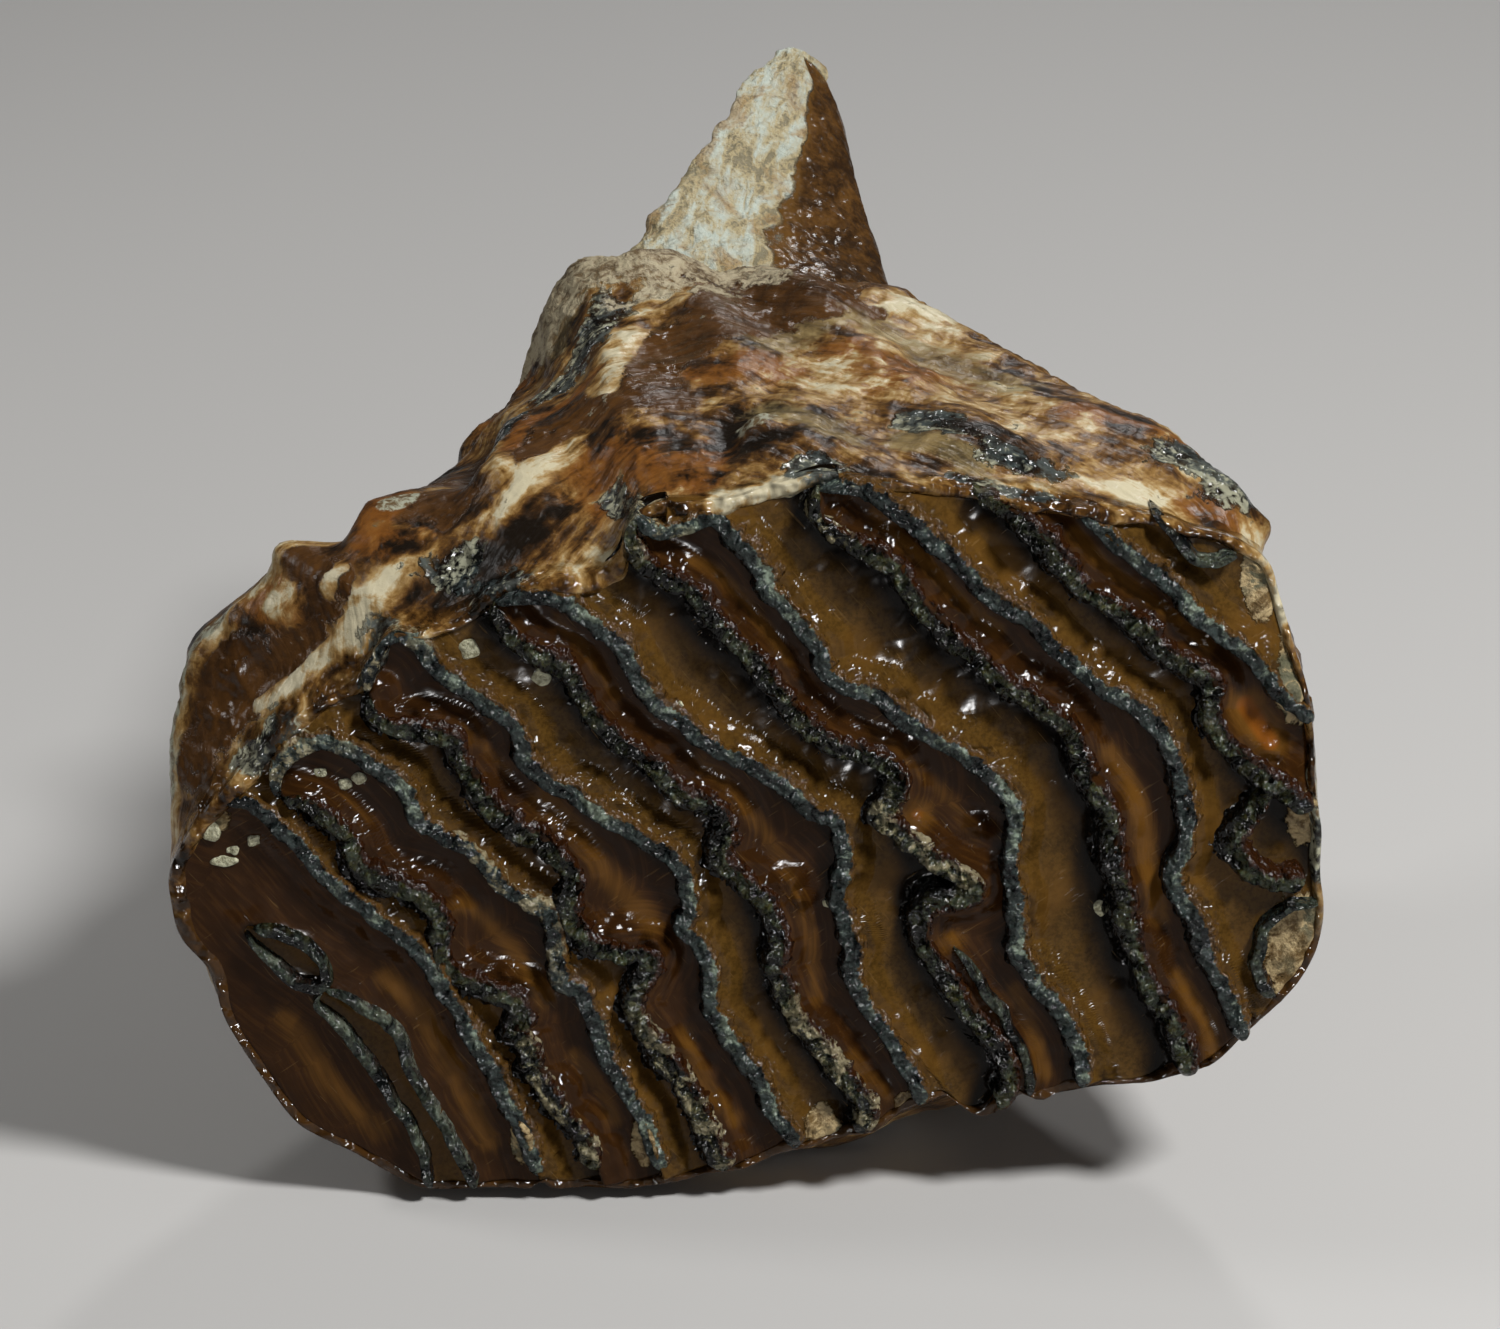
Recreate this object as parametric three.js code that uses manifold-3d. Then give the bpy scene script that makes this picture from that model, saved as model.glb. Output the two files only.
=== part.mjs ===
// A fossil mammoth molar: one tooth, grown as one piece and turned to stone.
// Upright plates of enamel and dentine are bound by cement into a block, ground
// off at one end to a ridged wear face. The side walls taper back from that face
// to the root base, where one broken root still stands.
//
// Millimetres, +Z up. The wear face stands upright and looks along -Y, and the
// tooth lies on a side wall, which touches the ground in one small flat spot.
// While it is shaped, y = 0 is the wear face and x = z = 0 a point near its top.
// At the end it is moved so that the origin is the middle of its footprint.
import * as THREE from 'three';
import { mergeVertices } from 'three/addons/utils/BufferGeometryUtils.js';
import Module from 'manifold-3d';

const wasm = await Module();
wasm.setup();

// Driving dimensions.
const groundHeight = -70;
const axisHeight = -24;
const faceDish = 1.4;
const ridgeHeight = 2;
const ridgeRoot = 2.5;
const troughDepth = 1.6;
const ribHeight = 0.9;
const lumpHeight = 0.7;
const stepsAround = 72;
const sweepStep = 5.5;

// The edge of the wear face: x and z, going round from the left.
const faceEdge = [
  [-67.5, -26], [-66, -35], [-61.5, -46], [-55, -58], [-47.7, -63.4], [-38.3, -68.6],
  [-22.7, -68.2], [-1.2, -65.5], [14.4, -60.9], [22, -55.5], [28.5, -58.3], [37, -55],
  [52.5, -52.3], [62, -43.5], [67, -33], [65, -15.5], [63, 2.7], [59.4, 13],
  [46, 18.5], [27, 21], [8, 23], [-10, 19.5], [-16, 12], [-29, 9], [-37, 4], [-43, 0],
  [-53, -7], [-62, -17],
];

// How far the walls stand from the axis, one row for each depth behind the wear
// face. The sixteen bearings start at +X and turn towards +Z.
const wallRows = [
  [0, 66.5, 67.6, 60, 49.8, 43.5, 38, 42, 51.5, 66, 65.7, 60.5, 47.5, 41.5, 39.6, 47, 63],
  [8, 65.5, 66, 60.5, 51, 46.5, 43, 49, 63, 67.5, 66, 60, 49.5, 45.5, 44, 49, 62.5],
  [18, 63, 65.5, 61.5, 51.5, 47.5, 47, 53, 62.5, 64, 63, 58, 50.5, 47.5, 48, 50, 60],
  [30, 58, 62.5, 60.5, 51.5, 48, 48.5, 50, 55, 58, 57, 54, 50.5, 48, 50, 49, 55],
  [42, 50, 54, 57.5, 51.5, 48.5, 49.5, 47.5, 50, 51, 50, 48, 48.5, 47.5, 49, 46, 48],
  [54, 40, 43, 50, 51.5, 49, 51, 46.5, 44, 42, 42, 42, 44, 43.5, 44, 41, 40],
  [64, 29, 32, 38, 48, 49.5, 52, 41, 34, 32, 32, 35, 36, 36, 35, 33, 31],
  [72, 20, 21, 26, 36, 46, 47, 31, 25, 23, 23, 26, 27, 27, 26, 24, 22],
];
const wallDepths = [1.5, 4, 8, 13, 18, 24, 30, 36, 42, 48, 54, 59, 64, 68, 72];
const faceRings = [0.35, 0.7, 1];
const backRings = [[0.8, 75], [0.55, 74.5], [0.28, 72]];

// Centre lines of the enamel on the wear face, x and z, from the upper left end
// of each plate to its lower right end. Lines 1 and 2 of each pair fold round
// one plate of dentine.
const plates = [
  [
    [[-54, -16.5], [-48.8, -18.5], [-45.3, -24.5], [-39.8, -28.3], [-35.9, -33],
      [-33.8, -39.8], [-27.2, -43.3], [-26.5, -48], [-24.5, -54], [-20, -60], [-17.8, -66]],
    [[-54.3, -14.5], [-50.5, -9.5], [-46, -10], [-41.5, -13.5], [-38.5, -19],
      [-32.3, -23.5], [-27, -29.5], [-23.4, -33.5], [-22.5, -40], [-19, -44],
      [-17, -51], [-12.3, -59.3], [-10.5, -65.5]],
  ],
  [
    [[-43, -5], [-36.5, -8.2], [-33, -12], [-29.3, -18], [-24, -22.8], [-20.6, -28],
      [-19, -34.5], [-12.7, -37], [-13.2, -43], [-11.2, -49], [-7, -55.5], [-3.2, -64.5]],
    [[-43.2, -3], [-42.3, 1.5], [-39, 2.5], [-35, -0.5], [-28.5, -6], [-25.5, -12],
      [-19, -17.5], [-11.8, -22.3], [-7.6, -28.5], [-6.8, -35], [-4.8, -42],
      [-1, -50], [2.5, -57], [5.2, -62.5]],
  ],
  [
    [[-28.5, 6.5], [-25.3, 2.5], [-19.5, -2.5], [-14, -10], [-8.3, -16], [-3.6, -19.5],
      [-2.5, -25.8], [2.8, -32], [3.8, -41], [8.5, -49.3], [13, -57], [12.8, -60]],
    [[-26.5, 6.5], [-21.3, 7], [-15.5, 3], [-11.5, -4.5], [-5, -10], [4, -15.8],
      [10.3, -21.5], [10.2, -29], [11.8, -37], [13.8, -44.3], [18, -51.5], [19.5, -56.5]],
  ],
  [
    [[-12.5, 16.5], [-9.5, 11.5], [-3.3, 5], [2.8, -3], [9.5, -9.6], [16, -13.5],
      [16, -19], [22, -25.3], [24.5, -29.5], [21.5, -34], [24, -41.5], [29.3, -50],
      [29.5, -56]],
    [[-10, 16.5], [-4, 17], [1.2, 11.5], [8, 2], [12, -3.3], [17, -6.5], [25.5, -12],
      [30.3, -19], [30.3, -27], [30.8, -35.5], [36.5, -45], [39.3, -52.5]],
  ],
  [
    [[7.5, 19.5], [10.5, 16], [16.5, 12.5], [22, 4], [28, -1], [35.5, -6.5],
      [40.3, -16], [42.2, -25], [44, -33.5], [49, -44], [50.8, -50.5]],
    [[9, 20.5], [14.5, 20], [22, 14.3], [28.5, 7.2], [37.5, -0.5], [46, -7],
      [49.8, -16.5], [49, -26], [52.5, -34.5], [57, -46]],
  ],
  [
    [[26.5, 19], [33, 15.3], [38.5, 9.2], [45.5, 4.3], [52, -1.3], [53.5, -8],
      [60, -14.3], [63, -16.5]],
    [[38, 16.3], [45.3, 11.5], [51.8, 5], [58, -1.3], [62, -6.5]],
  ],
];

// Enamel that folds round no dentine of its own: the edge of the most worn
// plate, the islands left in it, and the half plate and chip at the right edge.
const looseEnamel = [
  [[-59.5, -17], [-55.5, -19], [-50.5, -25], [-46, -30], [-40.3, -34.5], [-36.8, -39.5],
    [-33.7, -46.5], [-29.8, -54.5], [-26.5, -61.8], [-25, -66]],
  [[-59, -34], [-54.5, -39], [-50, -40.5], [-50.7, -37], [-55, -34], [-58.6, -33.3]],
  [[-49.8, -42], [-50, -44.5], [-46, -49.8], [-42.5, -55.8], [-39.2, -62], [-38.3, -66.5]],
  [[-49, -41.5], [-44.5, -44.4], [-41, -48.5], [-38.3, -56], [-35.5, -61.5], [-33.5, -66.5]],
  [[59.5, -15.5], [56.2, -21.5], [59.3, -26.2], [63.5, -26.8]],
  [[63, -30.8], [59.6, -34.5], [60, -40], [61.5, -42]],
];

// The broken root, in slices across y. Each names its left edge, the crest
// between its two front faces, its right edge and its underside, as x and z.
const rootSlices = [
  [60, [-16, 14], [0, 20], [17, 12], [4, -22]],
  [74, [-13, 23], [1, 25], [19.5, 16], [5, -16]],
  [80, [-10.5, 26.5], [2.5, 25.5], [19.5, 17], [5, -4]],
  [88, [-6.5, 30.5], [5, 28.5], [18.2, 20.5], [6, 6]],
  [97, [-2.5, 34.8], [7.5, 32.5], [15.6, 26], [7, 16]],
  [105, [0.8, 38], [8.3, 36.5], [13.3, 31.5], [7, 25]],
  [111, [3.4, 39.6], [7, 39.5], [10.8, 36.8], [7, 33]],
];

// Stumps of the two roots that broke off short behind the crown, each with a pulp
// hollow in its end: centre x and z, radius, where it ends, and how it is turned.
const stumps = [
  { x: -9, z: -33, radius: 13, end: 81, turn: 0.4 },
  { x: 9, z: -20, radius: 11, end: 84, turn: 2.1 },
];

// Hollows in the walls: bearing in degrees, depth behind the face, size round
// the wall and along it, and how deep they go. A negative one is a lump.
const dents = [
  { bearing: 161, depth: 6, wide: 10, long: 4, deep: 5 },
  { bearing: 152, depth: 20, wide: 9, long: 6, deep: -4 },
  { bearing: 152, depth: 30, wide: 8, long: 4.5, deep: 3.5 },
  { bearing: 139, depth: 48, wide: 6, long: 4, deep: 2.5 },
  { bearing: 132, depth: 45, wide: 4, long: 4, deep: -2 },
  { bearing: 88, depth: 27, wide: 4, long: 5, deep: 1.6 },
  { bearing: 62, depth: 9, wide: 14, long: 4, deep: -1 },
  { bearing: 112, depth: 64, wide: 12, long: 5, deep: -1.8 },
  { bearing: 205, depth: 34, wide: 16, long: 12, deep: 2.5 },
  { bearing: 330, depth: 40, wide: 14, long: 14, deep: 2 },
];

// Pits at the right edge of the wear face: centre and radii along x, y and z.
const pits = [
  { at: [66.5, -1, -22.5], size: [7, 3.5, 3.2] },
  { at: [67, 0, -36.5], size: [5.5, 4, 5] },
];

// A smooth step from one value to the next through four neighbours.
function throughFour(before, from, to, after, share) {
  const bend = 2 * before - 5 * from + 4 * to - after;
  const twist = 3 * (from - to) + after - before;
  return from + 0.5 * share * (to - before + share * (bend + share * twist));
}

// Distance from the axis to the wall at a bearing, from one row of sixteen.
function rowRadius(row, bearing) {
  const slot = (bearing / (2 * Math.PI)) * 16;
  const first = Math.floor(slot);
  const at = (step) => row[1 + ((first + step + 32) % 16)];
  return throughFour(at(-1), at(0), at(1), at(2), slot - first);
}

// The same distance at any depth, smooth from row to row.
function wallRadius(bearing, depth) {
  const last = wallRows.length - 1;
  let row = 0;
  while (row < last - 1 && wallRows[row + 1][0] < depth) row += 1;
  const at = (index) => rowRadius(wallRows[Math.min(Math.max(index, 0), last)], bearing);
  const share = (depth - wallRows[row][0]) / (wallRows[row + 1][0] - wallRows[row][0]);
  return throughFour(at(row - 1), at(row), at(row + 1), at(row + 2), share);
}

// Distance from the axis to the drawn edge of the wear face.
const edgeCurve = new THREE.CatmullRomCurve3(
  faceEdge.map(([x, z]) => new THREE.Vector3(x, 0, z - axisHeight)), true, 'centripetal');
const edgeByBearing = edgeCurve.getPoints(faceEdge.length * 12).map((point) => ({
  bearing: (Math.atan2(point.z, point.x) + 2 * Math.PI) % (2 * Math.PI),
  radius: Math.hypot(point.x, point.z),
})).sort((a, b) => a.bearing - b.bearing);

function edgeRadius(bearing) {
  const after = edgeByBearing.findIndex((point) => point.bearing >= bearing);
  const next = edgeByBearing[Math.max(after, 0)];
  return next.radius;
}

// Low waves that stand for lumps and dents in the walls.
function lumps(x, y, z) {
  const coarse = Math.sin(0.21 * x + 0.33 * y + 1) * Math.sin(0.27 * z - 0.19 * y + 2);
  const fine = Math.sin(0.55 * x - 0.4 * z + 0.7) * Math.sin(0.48 * y + 0.35 * z);
  return lumpHeight * (coarse + 0.6 * fine);
}

// Ribs where the plates reach the walls. Plates cross the face at a slant and
// crowd together towards the root.
function ribs(x, z, depth) {
  const spread = 1 - 0.45 * (depth / 72);
  const across = (0.82 * x + 0.57 * (z - axisHeight)) / spread;
  return ribHeight * Math.cos((2 * Math.PI * across) / 17) * Math.min(depth / 10, 1);
}

// How far the named hollows and lumps lower the wall at a place.
function denting(bearing, radius, depth) {
  let sum = 0;
  for (const dent of dents) {
    const turn = bearing - THREE.MathUtils.degToRad(dent.bearing);
    const round = (Math.atan2(Math.sin(turn), Math.cos(turn)) * radius) / dent.wide;
    const along = (depth - dent.depth) / dent.long;
    sum += dent.deep * Math.exp(-round * round - along * along);
  }
  return sum;
}

// How far the wear face is hollowed at a point.
function faceLevel(x, z) {
  const reach = Math.hypot(x / 70, (z - axisHeight) / 48);
  return faceDish * Math.max(1 - reach * reach, 0);
}

// One closed mesh through rings of points, its two ends closed by fans.
function closedSkin(rings) {
  const around = rings[0].length;
  const corners = rings.flat();
  const faces = [];
  for (let ring = 0; ring < rings.length - 1; ring += 1) {
    for (let step = 0; step < around; step += 1) {
      const here = ring * around + step;
      const next = ring * around + ((step + 1) % around);
      faces.push(here, next, next + around, here, next + around, here + around);
    }
  }
  const lastRing = (rings.length - 1) * around;
  for (const [ring, start, flip] of [[rings[0], 0, true], [rings.at(-1), lastRing, false]]) {
    const centre = new THREE.Vector3();
    for (const point of ring) centre.addScaledVector(point, 1 / around);
    const middle = corners.push(centre) - 1;
    for (let step = 0; step < around; step += 1) {
      const here = start + step;
      const next = start + ((step + 1) % around);
      faces.push(...(flip ? [next, here, middle] : [here, next, middle]));
    }
  }
  const geometry = new THREE.BufferGeometry().setFromPoints(corners);
  geometry.setIndex(faces);
  return geometry;
}

// A geometry as a solid for joining and cutting, turned right side out.
function toSolid(source) {
  const bare = source.clone();
  bare.deleteAttribute('normal');
  bare.deleteAttribute('uv');
  const merged = mergeVertices(bare, 1e-4);
  const places = merged.attributes.position;
  const faces = Array.from(merged.index.array);
  const [a, b, c] = [new THREE.Vector3(), new THREE.Vector3(), new THREE.Vector3()];
  let volume = 0;
  for (let face = 0; face < faces.length; face += 3) {
    a.fromBufferAttribute(places, faces[face]);
    b.fromBufferAttribute(places, faces[face + 1]);
    c.fromBufferAttribute(places, faces[face + 2]);
    volume += a.dot(b.cross(c));
  }
  if (volume < 0) faces.reverse();
  return new wasm.Manifold(new wasm.Mesh({
    numProp: 3,
    vertProperties: new Float32Array(places.array),
    triVerts: new Uint32Array(faces),
  }));
}

// The crown: the wear face, the walls running back from it, and the root base.
function crown() {
  const bearings = Array.from({ length: stepsAround }, (_, step) => (
    (2 * Math.PI * step) / stepsAround));
  const place = (bearing, radius, y) => new THREE.Vector3(
    radius * Math.cos(bearing), y, axisHeight + radius * Math.sin(bearing));
  const rings = [];
  for (const share of faceRings) {
    rings.push(bearings.map((bearing) => {
      const point = place(bearing, share * edgeRadius(bearing), 0);
      point.y = faceLevel(point.x, point.z);
      return point;
    }));
  }
  for (const depth of wallDepths) {
    const kept = Math.exp(-depth / 6);
    rings.push(bearings.map((bearing) => {
      const smooth = wallRadius(bearing, depth);
      const drawn = kept * (edgeRadius(bearing) - wallRadius(bearing, 0));
      const point = place(bearing, smooth + drawn, depth);
      const raised = lumps(point.x, point.y, point.z) + ribs(point.x, point.z, depth);
      const lowered = denting(bearing, smooth, depth);
      return place(bearing, smooth + drawn + (1 - kept) * (raised - lowered), depth);
    }));
  }
  for (const [share, y] of backRings) {
    rings.push(bearings.map((bearing) => {
      const point = place(bearing, share * wallRadius(bearing, 72), y);
      point.y += 2 * lumps(point.x, point.y, point.z);
      return point;
    }));
  }
  return toSolid(closedSkin(rings));
}

// Evenly spaced stations along a line drawn on the wear face, each with the
// direction across the line.
function stationsAlong(line, count) {
  const curve = new THREE.CatmullRomCurve3(
    line.map(([x, z]) => new THREE.Vector3(x, 0, z)), false, 'centripetal');
  const steps = count ?? Math.max(Math.round(curve.getLength() / sweepStep), 2);
  return Array.from({ length: steps + 1 }, (_, step) => {
    const along = curve.getTangentAt(step / steps);
    return {
      point: curve.getPointAt(step / steps),
      across: new THREE.Vector3(-along.z, 0, along.x),
    };
  });
}

// A ridge of enamel: a narrow crest on a wider foot, carried along its line. The
// crest rises and falls a little, as worn enamel does.
function enamelRidge(line, footLeft, footRight) {
  const rings = stationsAlong(line).map(({ point, across }, step) => {
    const level = faceLevel(point.x, point.z);
    const crest = level - ridgeHeight - 0.35 * Math.sin(1.7 * step + line[0][0]);
    const corner = (side, y) => point.clone().addScaledVector(across, side).setY(y);
    return [
      corner(-footLeft, level + ridgeRoot),
      corner(-0.7, crest),
      corner(0.8, crest),
      corner(footRight, level + ridgeRoot),
    ];
  });
  return toSolid(closedSkin(rings));
}

// The worn hollow in the dentine between the two enamel lines of a plate.
function dentineTrough([left, right]) {
  const count = 10;
  const rightStations = stationsAlong(right, count);
  const rings = stationsAlong(left, count).map(({ point: from }, step) => {
    const to = rightStations[step].point;
    const middle = from.clone().lerp(to, 0.5);
    const level = faceLevel(middle.x, middle.z);
    const corner = (share, y) => from.clone().lerp(to, share).setY(y);
    return [
      corner(0.1, level - 1),
      corner(0.9, level - 1),
      corner(0.7, level + troughDepth),
      corner(0.3, level + troughDepth),
    ];
  });
  return toSolid(closedSkin(rings.slice(1, -1)));
}

// The broken root: slices rounded off from their four named points.
function brokenRoot() {
  const rings = rootSlices.map(([y, left, crest, right, under]) => {
    const outline = [left, crest, right, under].map(([x, z]) => new THREE.Vector3(x, y, z));
    const curve = new THREE.CatmullRomCurve3(outline, true, 'centripetal');
    return curve.getPoints(16).slice(0, 16).map((point) => {
      point.y += lumps(point.x * 2, point.y, point.z * 2);
      return point;
    });
  });
  return toSolid(closedSkin(rings));
}

// A stump: rings out to an uneven broken end, then in and down to its hollow.
function rootStump({ x, z, radius, end, turn }) {
  const slices = [
    [radius + 3, 58, 0], [radius + 1, 70, 0], [radius - 1.5, end - 3, 0.5],
    [radius - 3, end, 1], [radius * 0.45, end - 1, 1], [radius * 0.25, end - 6, 0.3],
  ];
  const rings = slices.map(([size, y, ragged]) => (
    Array.from({ length: 16 }, (_, step) => {
      const bearing = (step * Math.PI) / 8;
      const wide = size * (1 + 0.12 * Math.sin(2 * bearing + turn));
      const broken = ragged * 2 * Math.sin(3 * bearing + turn);
      return new THREE.Vector3(
        x + wide * Math.cos(bearing), y + broken, z + 0.85 * wide * Math.sin(bearing));
    })));
  return toSolid(closedSkin(rings));
}

function pit({ at, size }) {
  const ball = new THREE.SphereGeometry(1, 10, 6);
  ball.scale(...size);
  ball.translate(...at);
  return toSolid(ball);
}

// The whole tooth: walls and roots joined, pits and worn hollows cut, enamel
// raised, and the underside ground flat where it touches the ground.
function molar() {
  let tooth = crown().add(brokenRoot());
  for (const stump of stumps) tooth = tooth.add(rootStump(stump));
  for (const hollow of pits) tooth = tooth.subtract(pit(hollow));
  for (const plate of plates) tooth = tooth.subtract(dentineTrough(plate));
  for (const [left, right] of plates) {
    tooth = tooth.add(enamelRidge(left, 1.7, 3)).add(enamelRidge(right, 1.8, 2));
  }
  for (const line of looseEnamel) tooth = tooth.add(enamelRidge(line, 1.7, 1.7));
  const ground = new THREE.BoxGeometry(400, 400, 100);
  ground.translate(0, 0, groundHeight - 50);
  const mesh = tooth.subtract(toSolid(ground)).getMesh();
  const geometry = new THREE.BufferGeometry();
  geometry.setAttribute('position', new THREE.BufferAttribute(mesh.vertProperties, 3));
  geometry.setIndex(new THREE.BufferAttribute(mesh.triVerts, 1));
  geometry.computeBoundingBox();
  const middle = geometry.boundingBox.getCenter(new THREE.Vector3());
  geometry.translate(-middle.x, -middle.y, -geometry.boundingBox.min.z);
  geometry.computeVertexNormals();
  return geometry;
}

const fossilTooth = new THREE.MeshStandardMaterial({
  color: 0x5a3b1e,
  roughness: 0.3,
  metalness: 0,
});

const group = new THREE.Group();
const tooth = new THREE.Mesh(molar(), fossilTooth);
tooth.name = 'molar';
group.add(tooth);

export default group;
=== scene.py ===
import math

import bpy
import numpy as np
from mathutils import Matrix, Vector


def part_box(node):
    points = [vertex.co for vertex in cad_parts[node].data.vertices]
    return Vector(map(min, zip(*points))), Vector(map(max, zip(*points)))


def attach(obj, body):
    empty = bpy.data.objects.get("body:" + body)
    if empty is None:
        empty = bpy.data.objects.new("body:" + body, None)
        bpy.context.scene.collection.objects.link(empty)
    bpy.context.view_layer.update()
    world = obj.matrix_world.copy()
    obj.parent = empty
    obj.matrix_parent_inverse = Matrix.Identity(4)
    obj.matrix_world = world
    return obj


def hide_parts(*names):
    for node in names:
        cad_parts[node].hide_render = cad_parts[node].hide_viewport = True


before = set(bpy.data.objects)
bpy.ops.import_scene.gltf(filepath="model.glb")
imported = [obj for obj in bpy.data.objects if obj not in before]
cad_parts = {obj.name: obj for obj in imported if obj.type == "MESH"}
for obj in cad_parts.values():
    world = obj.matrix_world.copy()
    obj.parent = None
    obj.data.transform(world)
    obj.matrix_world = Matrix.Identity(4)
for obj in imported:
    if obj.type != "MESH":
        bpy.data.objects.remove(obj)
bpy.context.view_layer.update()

# A fossil mammoth molar that lies on its side. Shapes are worked out in millimetres with the
# wear face at y = 0, x to the right and z up, and moved to the solid's place at the very end.
millimetre = 0.001
solidLow = np.array([-67.63, -2.29, -70.0])  # the solid's lowest corner while y = 0 is the wear face
toFrame = np.array(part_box("molar")[0]) / millimetre - solidLow
axisHeight = -24.0  # bearings turn about this height at x = 0, from +X towards +Z
groundHeight = -70.0
wallEnd = 72.0      # the walls run back this far from the wear face
twoPi = 2 * math.pi
stirs = (73856093, 19349663, 83492791, 2654435, 1274126177, 668265263)  # large odd numbers


# A repeatable random number from -1 to 1 for each whole-number cell.
def lattice(cells, seed):
    mixed = (cells[..., 0] * stirs[0] ^ cells[..., 1] * stirs[1]
             ^ cells[..., 2] * stirs[2] ^ (seed + 11) * stirs[3])
    mixed = (mixed ^ (mixed >> 13)) * stirs[4] & 0x7FFFFFFF
    mixed = (mixed ^ (mixed >> 15)) * stirs[5] & 0x7FFFFFFF
    return (mixed & 0xFFFF) / 32767.5 - 1.0


# Octaves of value noise summed, each half the size and a set share of the strength of the last.
def cloud(points, size, seed, octaves=3, keep=0.5):
    total = np.zeros(points.shape[:-1])
    strength, span = 1.0, 0.0
    for octave in range(octaves):
        scaled = points * (2.0 ** octave) / size + 31.7 * octave
        base = np.floor(scaled).astype(np.int64)
        part = scaled - base
        ease = part * part * (3 - 2 * part)
        for corner in range(8):
            step = np.array([corner & 1, corner >> 1 & 1, corner >> 2])
            weight = np.prod(np.where(step, ease, 1 - ease), axis=-1)
            total += strength * weight * lattice(base + step, seed + octave)
        span += strength
        strength *= keep
    return total / span


# 0 below low, 1 above high, and a soft S between them; low may be the greater.
def smoothStep(low, high, value):
    share = np.clip((value - low) / (high - low), 0, 1)
    return share * share * (3 - 2 * share)


# Catmull-Rom weights of four neighbours at a share of the way from the second to the third.
def fourWeights(share):
    return np.array([
        -0.5 * share + share ** 2 - 0.5 * share ** 3, 1 - 2.5 * share ** 2 + 1.5 * share ** 3,
        0.5 * share + 2 * share ** 2 - 1.5 * share ** 3, -0.5 * share ** 2 + 0.5 * share ** 3])


# Rows given at rising stations, read off at other stations along Catmull-Rom curves.
def blendRows(rows, stations, wanted):
    last = len(stations) - 1
    row = np.clip(np.searchsorted(stations, wanted) - 1, 0, last - 1)
    share = (wanted - stations[row]) / (stations[row + 1] - stations[row])
    weights = fourWeights(share).reshape(4, -1, *[1] * (rows.ndim - 1))
    return sum(weights[k] * rows[np.clip(row + k - 1, 0, last)] for k in range(4))


# A Catmull-Rom curve through given points, cut again into equal steps.
def smoothLine(points, step, closed=False):
    knots = np.asarray(points, float)
    if closed:
        chain = np.vstack([knots[-1:], knots, knots[:2]])
    else:
        chain = np.vstack([2 * knots[:1] - knots[1:2], knots, 2 * knots[-1:] - knots[-2:-1]])
    weights = fourWeights(np.linspace(0, 1, 10, endpoint=False)[None, :, None])
    curve = sum(weights[k] * chain[k:len(chain) - 3 + k, None] for k in range(4))
    curve = np.vstack([curve.reshape(-1, 2), chain[-2:-1]])
    lengths = np.concatenate([[0], np.cumsum(np.hypot(*np.diff(curve, axis=0).T))])
    even = np.linspace(0, lengths[-1], max(int(lengths[-1] / step), 2) + 1)
    return np.column_stack([np.interp(even, lengths, curve[:, k]) for k in range(2)])


# Distance from each point to the nearest stretch of a line, and how far along the line that is.
def nearLine(x, z, line, reach=16.0):
    nearest, along = np.full(x.shape, 2.0 * reach), np.zeros(x.shape)
    inside = ((x > line[:, 0].min() - reach) & (x < line[:, 0].max() + reach)
              & (z > line[:, 1].min() - reach) & (z < line[:, 1].max() + reach))
    px, pz = x[inside].astype(np.float32), z[inside].astype(np.float32)
    best, place = np.full(px.shape, 1e9, np.float32), np.zeros(px.shape, np.float32)
    spans = np.diff(line, axis=0)
    lengths = np.hypot(*spans.T)
    starts = np.concatenate([[0], np.cumsum(lengths)[:-1]])
    for (ax, az), (sx, sz), length, start in zip(line[:-1], spans, lengths, starts):
        dx, dz = px - np.float32(ax), pz - np.float32(az)
        share = np.clip((dx * sx + dz * sz) / (length * length), 0, 1)
        gap = (dx - share * sx) ** 2 + (dz - share * sz) ** 2
        closer = gap < best
        best = np.where(closer, gap, best)
        place = np.where(closer, start + share * length, place)
    nearest[inside] = np.sqrt(best)
    along[inside] = place
    return nearest, along


# True where a level line to the right of the point crosses the outline an odd number of times.
def insideOutline(x, z, outline):
    crossed = np.zeros(x.shape, bool)
    for (ax, az), (bx, bz) in zip(outline, np.roll(outline, -1, axis=0)):
        if az != bz:
            crossed ^= ((az > z) != (bz > z)) & (x < (bx - ax) * (z - az) / (bz - az) + ax)
    return crossed


# A mesh from corner points and arrays of faces, turned right side out, in the shared frame.
def buildMesh(name, corners, faceArrays):
    first = [faces[:, :3] for faces in faceArrays]
    second = [faces[:, [0, 2, 3]] for faces in faceArrays if faces.shape[1] == 4]
    a, b, c = (corners[np.vstack(first + second)[:, k]] for k in range(3))
    if np.einsum("ij,ij->", a, np.cross(b, c)) < 0:
        faceArrays = [faces[:, ::-1] for faces in faceArrays]
    loops = np.concatenate([faces.ravel() for faces in faceArrays])
    sizes = np.concatenate([np.full(len(faces), faces.shape[1]) for faces in faceArrays])
    mesh = bpy.data.meshes.new(name)
    mesh.vertices.add(len(corners))
    mesh.vertices.foreach_set("co", ((corners + toFrame) * millimetre).ravel())
    mesh.loops.add(len(loops))
    mesh.loops.foreach_set("vertex_index", loops)
    mesh.polygons.add(len(sizes))
    mesh.polygons.foreach_set("loop_start", np.concatenate([[0], np.cumsum(sizes)[:-1]]))
    mesh.polygons.foreach_set("use_smooth", np.ones(len(sizes), bool))
    mesh.update(calc_edges=True)
    return mesh


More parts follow.
